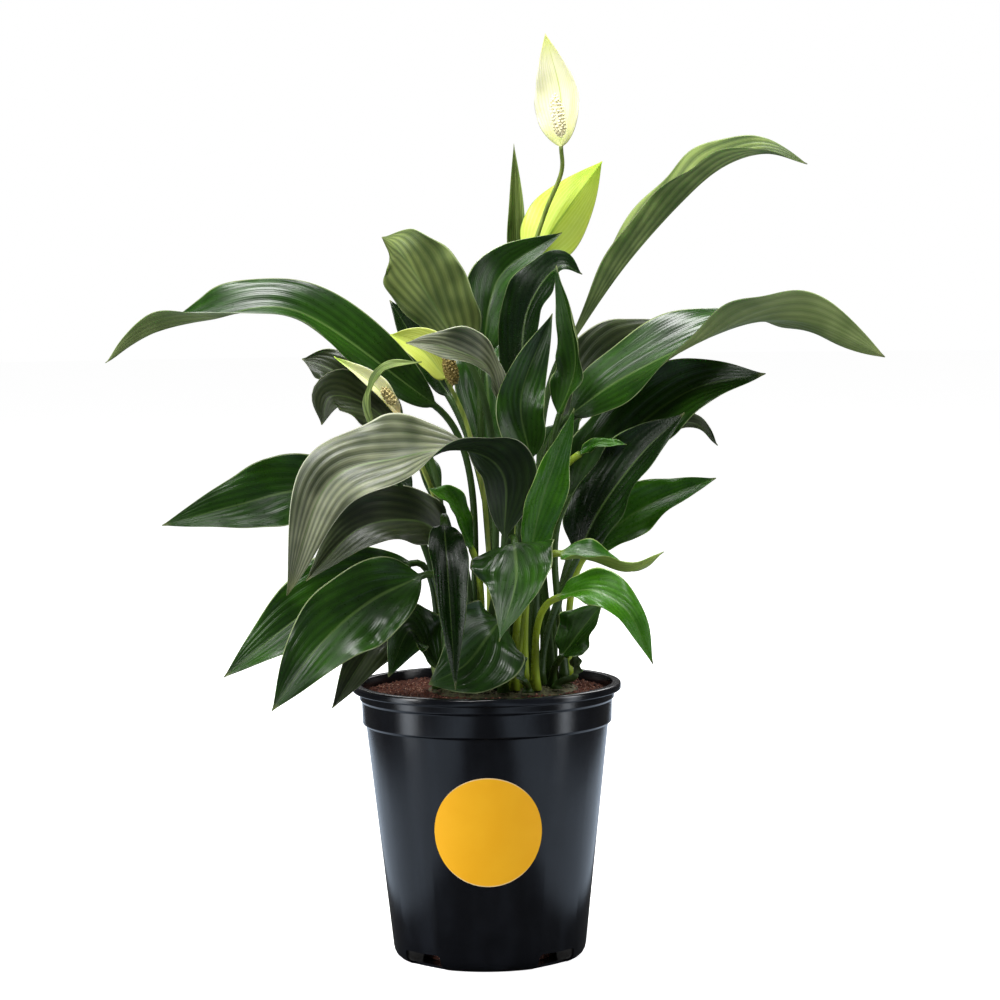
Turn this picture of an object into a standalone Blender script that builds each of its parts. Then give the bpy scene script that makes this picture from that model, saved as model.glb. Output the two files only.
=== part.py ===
"""Potted peace lily: a nursery pot of soil, long-stalked leaves and four flowers.

Metres, +Z up. The origin is the middle of the pot's flat base and -Y is the front.
"""

import math
from collections import namedtuple
from itertools import combinations

import bmesh
import bpy
from mathutils import Vector

MM = 0.001
GAP = 0.3 * MM  # clearance between pieces that touch

# Pot
POT_HEIGHT = 170 * MM
RIM_RADIUS = 82.5 * MM
RIM_DEPTH = 4.5 * MM
RIM_ROUND = 1 * MM
RIM_FLARE = 0.6 * MM
COLLAR_RADIUS = 78.3 * MM
COLLAR_DEPTH = 9.5 * MM
BAND_RADIUS = 77 * MM
BAND_DEPTH = 25 * MM
BAND_STEP = 2 * MM
BAND_EASE = 0.6 * MM  # how softly the collar and the band step in
BODY_RADIUS = 74.5 * MM
FOOT_RADIUS = 59.5 * MM
FOOT_ROUND = 8 * MM
FOOT_FACETS = 4
WALL = 1.6 * MM
POT_STEPS = 56
NOTCH_COUNT = 4
NOTCH_WIDTH = 30 * MM
NOTCH_HEIGHT = 10 * MM
NOTCH_DEPTH = 9 * MM
NOTCH_FIRST_ANGLE = 45

# Soil and crown
SOIL_DROP = 5 * MM
SOIL_EDGE_DIP = 1 * MM
SOIL_SHELF = 2 * MM  # level soil round the crown
NOTCH_ROOM = 4 * MM  # how far the soil stands back above a notch
SOIL_STEPS = 48
CROWN_RADIUS = 46 * MM
CROWN_HEIGHT = 3 * MM
CROWN_EDGE = 2 * MM
CROWN_LIP = 1 * MM
CROWN_STEPS = 32
CROWN_X = 10 * MM

# Label
LABEL_DIAMETER = 67 * MM
LABEL_HEIGHT = 88 * MM
LABEL_THICKNESS = 0.4 * MM
LABEL_CLEARANCE = 0.4 * MM
LABEL_STEPS = 40

# Leaves
PETIOLE_RADIUS = 2.1 * MM
BLADE_THICKNESS = 0.8 * MM
TIP_HALF_WIDTH = 0.5 * MM
LOW_STALK = 60 * MM
LOWEST_NECK = 8 * MM
FOOT_PITCH = 11.5 * MM
OUTLINE_FULLNESS = 1.8  # lower is fuller
NECK_SHARE = 0.06  # how soon the stalk opens out, as a share of the blade's length
FOLD_SOFTNESS = 0.02  # rounds the crease along the midrib
STALK_RISE = 0.4  # shares of a stalk's reach that shape its curve
STALK_LEAD = 0.25
LOOK_AHEAD = 0.05  # share of the spine that sets its starting direction
SEED_SPREAD = 0.56
LEAST_GAIN = 0.01 * MM
SECTION_POINTS = 8
PETIOLE_RINGS = 5
BLADE_RINGS = 10
STALK_TOP_RINGS = 4

# Flowers
STALK_RADIUS = 1.6 * MM
SPADIX_RADIUS = 4 * MM
SPADIX_STOUTNESS = 0.25
SPATHE_FOOT_RADIUS = 1.2 * MM

SOIL_TOP = POT_HEIGHT - SOIL_DROP
CROWN_TOP = SOIL_TOP + GAP + CROWN_HEIGHT
ROOT = Vector((CROWN_X, 0, CROWN_TOP + GAP))
GOLDEN_ANGLE = math.radians(137.508)

# Spine points are millimetres from the pot's axis in x and y, and above the crown in z.
# They start at the neck, where the stalk becomes the blade, and end at the tip.
# fold is how far each half is raised and turn the blade's roll at neck and tip, in degrees.
# belly is how far along the blade its widest place is, as a share of its length.
Leaf = namedtuple("Leaf", "name width fold turn spine belly", defaults=(0.4,))
LEAVES = [
    Leaf(
        "leaf_left_reach", 50, 28, (75, -60),
        [(-30, 0, 172), (-110, -15, 230), (-165, -25, 227), (-202, -33, 218), (-226, -40, 202)], 0.33,
    ),
    Leaf(
        "leaf_left_low_long", 46, 20, (70, 70),
        [(-55, 8, 117), (-110, 0, 121), (-150, -6, 113), (-196, -20, 102)],
    ),
    Leaf("leaf_left_upper", 34, 25, (55, 55), [(-50, 25, 162), (-90, 28, 191), (-112, 30, 200)]),
    Leaf(
        "leaf_left_hooked", 34, 20, (60, 60),
        [(-48, -10, 152), (-70, -14, 173), (-92, -18, 179), (-98, -20, 162)],
    ),
    Leaf(
        "leaf_upper_left", 54, 22, (-65, -75),
        [(-9, -15, 200), (-31, -22, 238), (-47, -26, 264), (-60, -14, 275)],
    ),
    Leaf(
        "leaf_upper_middle", 42, 35, (-65, -60),
        [(0, 14, 201), (5, 22, 234), (16, 30, 255), (50, 38, 276)],
    ),
    Leaf("leaf_rolled", 24, 60, (0, 0), [(21, 82, 217), (22, 84, 260), (22, 86, 295), (21, 88, 332)]),
    Leaf(
        "leaf_right_arch", 46, 50, (-5, -35),
        [(54, 46, 208), (88, 38, 255), (122, 28, 293), (148, 20, 315), (174, 10, 323), (199, 2, 316)],
    ),
    Leaf(
        "leaf_dark_curl", 38, 30, (-75, -40),
        [(24, -6, 165), (25, -8, 217), (34, -10, 242), (48, -12, 256), (61, -12, 251)], 0.35,
    ),
    Leaf("leaf_tall_right", 30, 30, (-140, -140), [(46, -34, 167), (56, -36, 202), (45, -38, 257)]),
    Leaf("leaf_front_upright", 34, 30, (-130, -130), [(28, -46, 142), (23, -51, 180), (42, -58, 229)]),
    Leaf(
        "leaf_front_hook", 30, 25, (55, 60),
        [(12, -38, 173), (2, -54, 198), (-22, -68, 210), (-45, -72, 213)],
    ),
    Leaf(
        "leaf_front_arch", 62, 20, (-60, 85),
        [(12, -46, 95), (12, -58, 133), (-9, -70, 149), (-49, -86, 146), (-91, -104, 132), (-115, -119, 69)],
        0.48,
    ),
    Leaf(
        "leaf_left_low", 44, 25, (60, 55),
        [(-22, -28, 92), (-42, -43, 105), (-75, -62, 102), (-106, -78, 73)],
    ),
    Leaf(
        "leaf_left_drop", 52, 20, (70, 60),
        [(-38, -78, 75), (-69, -90, 61), (-98, -104, 37), (-125, -116, 1)],
    ),
    Leaf(
        "leaf_left_drop_back", 48, 20, (65, 65),
        [(-45, -20, 77), (-85, -38, 65), (-118, -50, 44), (-157, -62, 14)],
    ),
    Leaf("leaf_left_small", 32, 25, (65, 55), [(-48, -38, 37), (-66, -54, 33), (-92, -72, -4)]),
    Leaf(
        "leaf_rim_curl", 44, 20, (60, 60),
        [(-30, -46, 9), (-36, -56, 29), (-46, -66, 41), (-58, -76, 15)],
    ),
    Leaf("leaf_front_hanging", 30, 40, (0, 0), [(-24, -70, 105), (-22, -86, 80), (-18, -100, 10)]),
    Leaf("leaf_front_low", 54, 15, (70, 70), [(8, -54, 45), (1, -66, 37), (-13, -74, 21), (-34, -82, 11)]),
    Leaf("leaf_front_tongue", 54, 15, (0, 0), [(18, -76, 93), (18, -92, 71), (8, -106, 39)], 0.22),
    Leaf("leaf_front_bright", 28, 25, (-130, -130), [(26, -62, 83), (36, -66, 123), (54, -70, 173)]),
    Leaf(
        "leaf_right_small", 26, 30, (-45, 60),
        [(46, -52, 85), (64, -62, 82), (86, -72, 76), (106, -80, 88)], 0.32,
    ),
    Leaf(
        "leaf_right_bent", 28, 30, (-45, -45),
        [(44, -72, 61), (63, -83, 66), (84, -94, 54), (98, -102, 24)],
    ),
    Leaf("leaf_right_round", 34, 20, (-60, -60), [(46, -34, 21), (56, -38, 35), (70, -44, 53)], 0.45),
    Leaf(
        "leaf_right_big", 46, 20, (-65, -60),
        [(56, -18, 79), (70, -26, 109), (95, -36, 143), (121, -42, 168)],
    ),
    Leaf("leaf_right_thin", 36, 25, (-60, -55), [(65, 10, 81), (95, 12, 105), (143, 16, 124)]),
    Leaf(
        "leaf_right_back_curl", 18, 25, (-50, -50),
        [(71, 40, 110), (106, 44, 151), (131, 46, 156), (146, 48, 142)],
    ),
    Leaf(
        "leaf_right_middle", 54, 20, (-60, -60),
        [(52, -4, 114), (83, -8, 149), (126, -16, 180), (171, -24, 190)],
    ),
    Leaf(
        "leaf_right_reach", 62, 22, (-80, 78),
        [(52, -14, 165), (83, -20, 187), (130, -26, 210), (166, -32, 222), (200, -38, 220), (241, -44, 200)],
        0.45,
    ),
    Leaf(
        "leaf_right_behind", 44, 25, (-60, -60),
        [(50, 14, 160), (66, 18, 190), (95, 22, 208), (128, 26, 213)],
    ),
    Leaf("leaf_right_sliver", 9, 20, (-50, -50), [(58, -28, 143), (70, -33, 150), (86, -38, 149)]),
    Leaf(
        "leaf_thin_curl", 11, 20, (-50, -50),
        [(-58, -46, 145), (-68, -52, 176), (-60, -56, 197), (-36, -58, 201)],
    ),
    Leaf("leaf_behind_left", 30, 25, (50, 50), [(-22, 50, 175), (-58, 58, 235)]),
    Leaf("leaf_behind_low_left", 32, 25, (50, 50), [(-46, 40, 115), (-92, 54, 145)]),
    Leaf("leaf_inner_left", 22, 25, (40, 40), [(-8, -19, 85), (-20, -22, 113), (-34, -24, 123)]),
    Leaf("leaf_sprout_right", 11, 30, (0, 0), [(54, -30, 9), (53, -31, 23)]),
    Leaf("leaf_sprout_front", 18, 30, (60, 60), [(22, -52, 9), (16, -57, 18), (11, -59, 27)]),
    Leaf("leaf_back_left", 46, 25, (-30, -30), [(-30, 60, 105), (-55, 84, 153), (-82, 118, 160)]),
    Leaf("leaf_back_middle", 48, 25, (0, 0), [(4, 72, 125), (2, 92, 185), (-4, 126, 219)]),
    Leaf("leaf_back_right", 48, 25, (30, 30), [(40, 64, 105), (60, 90, 155), (86, 124, 173)]),
    Leaf("leaf_back_low_left", 36, 25, (-30, -30), [(-20, 56, 51), (-38, 82, 95), (-58, 114, 99)]),
    Leaf("leaf_back_low_right", 44, 25, (30, 30), [(30, 62, 51), (46, 92, 103), (62, 128, 113)]),
]

# A flower's stalk ends at the foot of its spathe. Its spadix goes from its foot to its tip.
Flower = namedtuple("Flower", "name width fold turn stalk spathe spadix")
FLOWERS = [
    Flower(
        "top", 32, 20, (90, 90),
        [(29, 51, 257), (40, 50, 289), (50, 45, 313), (50, 42, 328)],
        [(50, 42, 329), (50, 46, 362), (41, 46, 399)],
        [(50, 33, 335), (46, 33, 361)],
    ),
    Flower(
        "lime", 42, 20, (90, 90),
        [(26, 58, 195), (31, 62, 257)],
        [(31, 62, 258), (50, 64, 285), (76, 66, 320)],
        [(36, 74, 265), (48, 76, 281)],
    ),
    Flower(
        "side", 30, 20, (60, 60),
        [(-3, -26, 132), (-11, -31, 165), (-20, -36, 187)],
        [(-22, -36, 190), (-36, -40, 207), (-55, -44, 217)],
        [(-17, -46, 187), (-22, -48, 208)],
    ),
    Flower(
        "narrow", 14, 30, (60, 60),
        [(-34, -16, 127), (-50, -34, 167)],
        [(-50, -34, 168), (-66, -37, 187), (-89, -40, 204)],
        [(-53, -41, 175), (-60, -44, 185)],
    ),
]


def clear_scene():
    for obj in list(bpy.data.objects):
        bpy.data.objects.remove(obj)


def collection(name):
    made = bpy.data.collections.new(name)
    bpy.context.scene.collection.children.link(made)
    return made


def material(name, colour, roughness):
    made = bpy.data.materials.new(name)
    made.use_nodes = True
    shader = made.node_tree.nodes["Principled BSDF"]
    shader.inputs["Base Color"].default_value = (*colour, 1)
    shader.inputs["Roughness"].default_value = roughness
    shader.inputs["Metallic"].default_value = 0
    return made


def add_object(name, mesh, finish, group):
    obj = bpy.data.objects.new(name, mesh)
    mesh.materials.append(finish)
    group.objects.link(obj)
    return obj


def turned(name, profile, steps, finish, group):
    """A solid of revolution from a profile that starts and ends on the axis."""
    mesh = bpy.data.meshes.new(name)
    edges = [(i, i + 1) for i in range(len(profile) - 1)]
    mesh.from_pydata([(r, 0, z) for r, z in profile], edges, [])
    obj = add_object(name, mesh, finish, group)
    screw = obj.modifiers.new("Turn", "SCREW")
    screw.steps = screw.render_steps = steps
    screw.use_merge_vertices = True
    screw.merge_threshold = 0.00001
    screw.use_smooth_shade = True
    return obj


def wall_radius(z):
    """The pot's outer radius on the tapered wall below the band."""
    top = POT_HEIGHT - BAND_DEPTH
    return FOOT_RADIUS + (BODY_RADIUS - FOOT_RADIUS) * (z - FOOT_ROUND) / (top - FOOT_ROUND)


def outer_profile():
    """The pot's outside, from the top of the rim down to the middle of the base."""
    top = POT_HEIGHT
    points = [
        (RIM_RADIUS - RIM_ROUND, top),
        (RIM_RADIUS, top - RIM_ROUND),
        (RIM_RADIUS, top - RIM_DEPTH),
        (COLLAR_RADIUS, top - RIM_DEPTH - BAND_EASE),
        (COLLAR_RADIUS, top - COLLAR_DEPTH),
        (BAND_RADIUS, top - COLLAR_DEPTH - BAND_EASE),
        (BAND_RADIUS - BAND_EASE, top - BAND_DEPTH + BAND_EASE),
        (BODY_RADIUS, top - BAND_DEPTH),
        (FOOT_RADIUS, FOOT_ROUND),
    ]
    for step in range(1, FOOT_FACETS + 1):
        angle = math.pi / 2 * step / FOOT_FACETS
        inset = FOOT_ROUND * (1 - math.cos(angle))
        points.append((FOOT_RADIUS - inset, FOOT_ROUND * (1 - math.sin(angle))))
    return points + [(0, 0)]


def inner_radius(z):
    return wall_radius(z) - WALL


def inner_profile():
    """The pot's inside, from the middle of its floor up to the rim."""
    band = POT_HEIGHT - BAND_DEPTH
    return [
        (0, WALL),
        (inner_radius(FOOT_ROUND) - FOOT_ROUND + WALL, WALL),
        (inner_radius(FOOT_ROUND), FOOT_ROUND),
        (BODY_RADIUS - WALL, band),
        (BAND_RADIUS - WALL, band + BAND_STEP),
        (COLLAR_RADIUS - WALL, POT_HEIGHT - RIM_DEPTH),
        (COLLAR_RADIUS - WALL + RIM_FLARE, POT_HEIGHT),
    ]


def notch_cutter(index, group, finish):
    angle = math.radians(NOTCH_FIRST_ANGLE + 360 / NOTCH_COUNT * index)
    mesh = bpy.data.meshes.new("notch_cutter")
    bm = bmesh.new()
    bmesh.ops.create_cube(bm, size=1)
    size = (2 * NOTCH_DEPTH, NOTCH_WIDTH, 2 * NOTCH_HEIGHT)
    bmesh.ops.scale(bm, vec=size, verts=bm.verts)
    bm.to_mesh(mesh)
    bm.free()
    cutter = add_object("notch_cutter_%d" % index, mesh, finish, group)
    cutter.location = (FOOT_RADIUS * math.cos(angle), FOOT_RADIUS * math.sin(angle), 0)
    cutter.rotation_euler = (0, 0, angle)
    cutter.hide_render = True
    cutter.display_type = "WIRE"
    return cutter


def make_pot(group, cutters):
    finish = material("black_pot", (0.012, 0.013, 0.015), 0.35)
    pot = turned("pot", inner_profile() + outer_profile(), POT_STEPS, finish, group)
    for index in range(NOTCH_COUNT):
        cut = pot.modifiers.new("Notch %d" % index, "BOOLEAN")
        cut.operation = "DIFFERENCE"
        cut.object = notch_cutter(index, cutters, finish)


def make_soil(group):
    floor = WALL + GAP
    band = POT_HEIGHT - BAND_DEPTH
    foot = inner_radius(FOOT_ROUND) - FOOT_ROUND - GAP
    profile = [
        (0, SOIL_TOP),
        (CROWN_RADIUS + SOIL_SHELF, SOIL_TOP),
        (BAND_RADIUS - WALL - 2 * GAP, SOIL_TOP - SOIL_EDGE_DIP),
        (BAND_RADIUS - WALL - 2 * GAP, band + 1.5 * BAND_STEP),
        (BODY_RADIUS - WALL - 2 * GAP, band + 0.25 * BAND_STEP),
        (inner_radius(2 * FOOT_ROUND) - 2 * GAP, 2 * FOOT_ROUND),
        (foot - NOTCH_DEPTH + NOTCH_ROOM, floor + NOTCH_HEIGHT),
        (foot - NOTCH_DEPTH, floor),
        (0, floor),
    ]
    turned("soil", profile, SOIL_STEPS, material("soil", (0.13, 0.06, 0.035), 0.95), group)


def make_crown(group):
    bottom = SOIL_TOP + GAP
    profile = [
        (0, CROWN_TOP),
        (CROWN_RADIUS - CROWN_EDGE, CROWN_TOP),
        (CROWN_RADIUS, bottom + CROWN_LIP),
        (CROWN_RADIUS, bottom),
        (0, bottom),
    ]
    crown = turned("crown", profile, CROWN_STEPS, material("crown", (0.16, 0.13, 0.05), 0.9), group)
    crown.location.x = CROWN_X


def make_label(group):
    """A round sticker that follows the cone of the pot's wall."""
    mesh = bpy.data.meshes.new("label")
    bm = bmesh.new()
    disc = LABEL_DIAMETER / 2
    bmesh.ops.create_circle(bm, cap_ends=True, cap_tris=True, segments=LABEL_STEPS, radius=disc)
    bmesh.ops.subdivide_edges(bm, edges=bm.edges, cuts=2, use_grid_fill=True)
    for vert in bm.verts:
        z = LABEL_HEIGHT + vert.co.y
        radius = wall_radius(z) + LABEL_CLEARANCE
        angle = vert.co.x / radius
        vert.co = Vector((radius * math.sin(angle), -radius * math.cos(angle), z))
    bmesh.ops.triangulate(bm, faces=bm.faces)
    bm.to_mesh(mesh)
    bm.free()
    label = add_object("label", mesh, material("label", (0.9, 0.45, 0.01), 0.45), group)
    shell = label.modifiers.new("Thickness", "SOLIDIFY")
    shell.thickness = LABEL_THICKNESS
    shell.offset = 1
    shell.use_even_offset = True


def catmull(points, t):
    """A point at t, from 0 to 1, on the smooth curve through all the points."""
    spans = len(points) - 1
    at = min(int(t * spans), spans - 1)
    u = t * spans - at
    b, c = points[at], points[at + 1]
    a = points[at - 1] if at else b * 2 - c
    d = points[at + 2] if at + 2 <= spans else c * 2 - b
    linear = (c - a) * u
    square = (a * 2 - b * 5 + c * 4 - d) * u**2
    cube = (b * 3 - a - c * 3 + d) * u**3
    return b + (linear + square + cube) * 0.5


def bezier(a, b, c, d, t):
    s = 1 - t
    return a * s**3 + b * (3 * s * s * t) + c * (3 * s * t * t) + d * t**3


def in_metres(points):
    """Points above the crown, as world positions."""
    return [Vector((x * MM, y * MM, ROOT.z + z * MM)) for x, y, z in points]


def direction(path, i, rooted):
    """The path's direction at a point. A stalk that stands on the crown starts straight up."""
    if rooted and i == 0:
        return Vector((0, 0, 1))
    return (path[min(i + 1, len(path) - 1)] - path[max(i - 1, 0)]).normalized()


def petiole_path(foot, neck, toward, rings):
    """The stalk: up out of the crown, then into the line of what it carries."""
    reach = (neck - foot).length
    rise = foot + Vector((0, 0, reach * STALK_RISE))
    join = neck - toward * (reach * STALK_LEAD)
    return [bezier(foot, rise, join, neck, i / rings) for i in range(rings)]


def blade_half_width(s, belly):
    """A lance-shaped outline from 0 at the neck to 0 at the tip, and 1 at the belly."""
    rise = OUTLINE_FULLNESS * belly
    fall = OUTLINE_FULLNESS * (1 - belly)
    return (s / belly) ** rise * ((1 - s) / (1 - belly)) ** fall


def section(centre, along, side, half_width, half_thickness, fold):
    """Points round the stalk or blade: a thin ellipse with its halves raised."""
    normal = side.cross(along).normalized()
    ring = []
    for step in range(SECTION_POINTS):
        angle = math.pi - step * math.tau / SECTION_POINTS
        across = math.cos(angle)
        crease = math.sqrt(across**2 + FOLD_SOFTNESS) - math.sqrt(FOLD_SOFTNESS)
        lift = half_width * math.sin(fold) * crease
        height = half_thickness * math.sin(angle) + lift
        ring.append(centre + side * (half_width * across * math.cos(fold)) + normal * height)
    return ring


def loft(rings):
    """Joins the rings, with the same diagonals on both faces so that a thin blade never crosses itself."""
    count = len(rings[0])
    bm = bmesh.new()
    verts = [[bm.verts.new(point) for point in ring] for ring in rings]
    for low, high in zip(verts, verts[1:]):
        for k in range(count):
            n = (k + 1) % count
            if k < count // 2:
                bm.faces.new((low[k], high[n], low[n]))
                bm.faces.new((low[k], high[k], high[n]))
            else:
                bm.faces.new((low[k], high[k], low[n]))
                bm.faces.new((low[n], high[k], high[n]))
    bm.faces.new(verts[0])
    bm.faces.new(list(reversed(verts[-1])))
    bmesh.ops.recalc_face_normals(bm, faces=bm.faces)
    return bm


def level_side(heading):
    """The level direction square to a leaf's heading."""
    flat = Vector((heading.x, heading.y, 0))
    return flat.normalized().cross(Vector((0, 0, 1)))


def leaf_rings(foot, spine, shape, start_radius):
    """Sections from the foot of the stalk to the tip of the blade."""
    side_hint = level_side(spine[-1] - spine[0])
    toward = (catmull(spine, LOOK_AHEAD) - spine[0]).normalized()
    stalk = petiole_path(foot, spine[0], toward, PETIOLE_RINGS) if foot else []
    path = stalk + [catmull(spine, i / BLADE_RINGS) for i in range(BLADE_RINGS + 1)]
    rings = []
    for i, centre in enumerate(path):
        along = direction(path, i, foot)
        side = (side_hint - along * side_hint.dot(along)).normalized()
        s = max(0, i - len(stalk)) / BLADE_RINGS
        roll = math.radians(shape.turn[0] + (shape.turn[1] - shape.turn[0]) * s)
        normal = side.cross(along)
        side = side * math.cos(roll) + normal * math.sin(roll)
        shrink = math.exp(-s / NECK_SHARE)
        blade = shape.width * MM / 2 * blade_half_width(s, shape.belly)
        half_width = max(blade, start_radius * shrink, TIP_HALF_WIDTH)
        thin = BLADE_THICKNESS / 2
        half_thickness = thin + (start_radius - thin) * shrink
        opened = math.radians(shape.fold) * (1 - shrink)
        rings.append(section(centre, along, side, half_width, half_thickness, opened))
    return rings


def feet(count):
    """Places for the stalks on the crown, spread like the seeds of a sunflower."""
    places = []
    for i in range(count):
        radius = FOOT_PITCH * SEED_SPREAD * math.sqrt(i + 0.5)
        angle = i * GOLDEN_ANGLE
        places.append(ROOT + Vector((math.cos(angle), math.sin(angle), 0)) * radius)
    return places


def span(foot, neck):
    """How far a stalk runs out. A low one counts for more, since it has less room to clear the rest."""
    height = max(neck.z - foot.z, LOWEST_NECK)
    return math.hypot(neck.x - foot.x, neck.y - foot.y) * (1 + LOW_STALK / height)


def share_feet(necks):
    """Gives each stalk a place on the crown so that, seen from above, the total run is least.

    Runs that are shortest in total rarely cross, and low leaves come from the outside of the clump.
    """
    names = sorted(necks)
    taken = dict(zip(names, feet(len(names))))
    improved = True
    while improved:
        improved = False
        for one, other in combinations(names, 2):
            now = span(taken[one], necks[one]) + span(taken[other], necks[other])
            swapped = span(taken[other], necks[one]) + span(taken[one], necks[other])
            if swapped < now - LEAST_GAIN:
                taken[one], taken[other] = taken[other], taken[one]
                improved = True
    return taken


def add_loft(name, rings, finish, group):
    mesh = bpy.data.meshes.new(name)
    bm = loft(rings)
    bm.to_mesh(mesh)
    bm.free()
    mesh.shade_smooth()
    return add_object(name, mesh, finish, group)


def make_leaf(leaf, foot, group, finish):
    rings = leaf_rings(foot, in_metres(leaf.spine), leaf, PETIOLE_RADIUS)
    add_loft(leaf.name, rings, finish, group)


def make_stalk(flower, foot, group, finish):
    """A plain round stalk from the crown to just below the spathe."""
    route = in_metres(flower.stalk)
    toward = (catmull(route, LOOK_AHEAD) - route[0]).normalized()
    path = petiole_path(foot, route[0], toward, PETIOLE_RINGS)
    path += [catmull(route, i / STALK_TOP_RINGS) for i in range(STALK_TOP_RINGS + 1)]
    side = Vector((0, 1, 0))
    rings = []
    for i, centre in enumerate(path):
        along = direction(path, i, True)
        square = (side - along * side.dot(along)).normalized()
        rings.append(section(centre, along, square, STALK_RADIUS, STALK_RADIUS, 0))
    add_loft("flower_%s_stalk" % flower.name, rings, finish, group)


def make_spathe(flower, group, finish):
    shape = Leaf(flower.name, flower.width, flower.fold, flower.turn, flower.spathe)
    rings = leaf_rings(None, in_metres(flower.spathe), shape, SPATHE_FOOT_RADIUS)
    add_loft("flower_%s_spathe" % flower.name, rings, finish, group)


def make_spadix(flower, group, finish):
    """The spike, standing clear of the spathe's hollow face."""
    foot, tip = in_metres(flower.spadix)
    along = tip - foot
    radius = min(SPADIX_RADIUS, along.length * SPADIX_STOUTNESS)
    mesh = bpy.data.meshes.new("spadix")
    bm = bmesh.new()
    bmesh.ops.create_uvsphere(bm, u_segments=12, v_segments=8, radius=radius)
    bmesh.ops.scale(bm, vec=(1, 1, along.length / (2 * radius)), verts=bm.verts)
    bmesh.ops.rotate(bm, matrix=along.to_track_quat("Z", "Y").to_matrix(), verts=bm.verts)
    bmesh.ops.translate(bm, vec=(foot + tip) / 2, verts=bm.verts)
    bm.to_mesh(mesh)
    bm.free()
    mesh.shade_smooth()
    add_object("flower_%s_spadix" % flower.name, mesh, finish, group)


def make_plant(group):
    green = material("leaf", (0.05, 0.13, 0.03), 0.35)
    stalk_green = material("stalk", (0.25, 0.4, 0.08), 0.45)
    white = material("spathe", (0.8, 0.82, 0.62), 0.5)
    cream = material("spadix", (0.7, 0.68, 0.35), 0.7)
    necks = {leaf.name: in_metres(leaf.spine)[0] for leaf in LEAVES}
    necks.update({flower.name: in_metres(flower.stalk)[0] for flower in FLOWERS})
    foot = share_feet(necks)
    for leaf in LEAVES:
        make_leaf(leaf, foot[leaf.name], group, green)
    for flower in FLOWERS:
        make_stalk(flower, foot[flower.name], group, stalk_green)
        make_spathe(flower, group, white)
        make_spadix(flower, group, cream)


def main():
    clear_scene()
    group = collection("potted_peace_lily")
    cutters = collection("cutters")
    make_pot(group, cutters)
    make_soil(group)
    make_crown(group)
    make_label(group)
    make_plant(group)


main()
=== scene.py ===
"""A potted peace lily dressed in full: turned pot, crumbly soil, veined leaves and hooded flowers.

Lengths are metres, +Z is up and -Y is the front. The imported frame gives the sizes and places. The rows
of leaves and flowers repeat the routes of the CAD model, in millimetres above the crown.
"""

import logging
import math
from dataclasses import dataclass, field
from enum import Enum

import bmesh
import bpy
import numpy as np
from mathutils import Matrix, Vector, noise


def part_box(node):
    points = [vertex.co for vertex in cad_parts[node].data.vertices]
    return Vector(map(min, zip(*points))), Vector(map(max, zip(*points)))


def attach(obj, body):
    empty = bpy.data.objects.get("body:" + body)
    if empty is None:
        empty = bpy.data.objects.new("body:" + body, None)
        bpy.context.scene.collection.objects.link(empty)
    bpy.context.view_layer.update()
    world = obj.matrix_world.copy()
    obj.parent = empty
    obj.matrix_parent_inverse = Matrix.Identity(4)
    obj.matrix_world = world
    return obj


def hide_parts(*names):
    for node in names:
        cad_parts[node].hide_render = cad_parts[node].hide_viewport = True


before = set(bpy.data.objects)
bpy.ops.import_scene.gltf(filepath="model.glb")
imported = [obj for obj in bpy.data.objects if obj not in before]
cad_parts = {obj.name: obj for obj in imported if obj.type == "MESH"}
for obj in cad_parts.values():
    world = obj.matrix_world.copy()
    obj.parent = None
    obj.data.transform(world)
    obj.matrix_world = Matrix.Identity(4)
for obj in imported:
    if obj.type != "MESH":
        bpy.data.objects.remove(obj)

MM = 0.001
BODY = "root"
GAP = 0.3 * MM
LEVEL_TOLERANCE = 0.2 * MM
AXIS_TOLERANCE = 1e-6
LOG = logging.getLogger("peace_lily")

Colour = tuple[float, float, float, float]
Point = tuple[float, float, float]
Profile = list[tuple[float, float]]
Material = bpy.types.Material
Mesh = bpy.types.Mesh
Node = bpy.types.Node
Object = bpy.types.Object
Socket = bpy.types.NodeSocket
Tree = bpy.types.NodeTree
Value = float | int | tuple | Socket


# ---------------------------------------------------------------- building blocks


def rgb(red: float, green: float, blue: float) -> Colour:
    """A colour with full alpha, in linear light."""
    return (red, green, blue, 1.0)


def grey(level: float) -> Colour:
    """A grey with full alpha."""
    return rgb(level, level, level)


def toned(colour: Colour, scale: float, lift: float = 0.0) -> Colour:
    """A colour made darker or paler."""
    return rgb(*(min(1.0, scale * c + lift) for c in colour[:3]))


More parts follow.
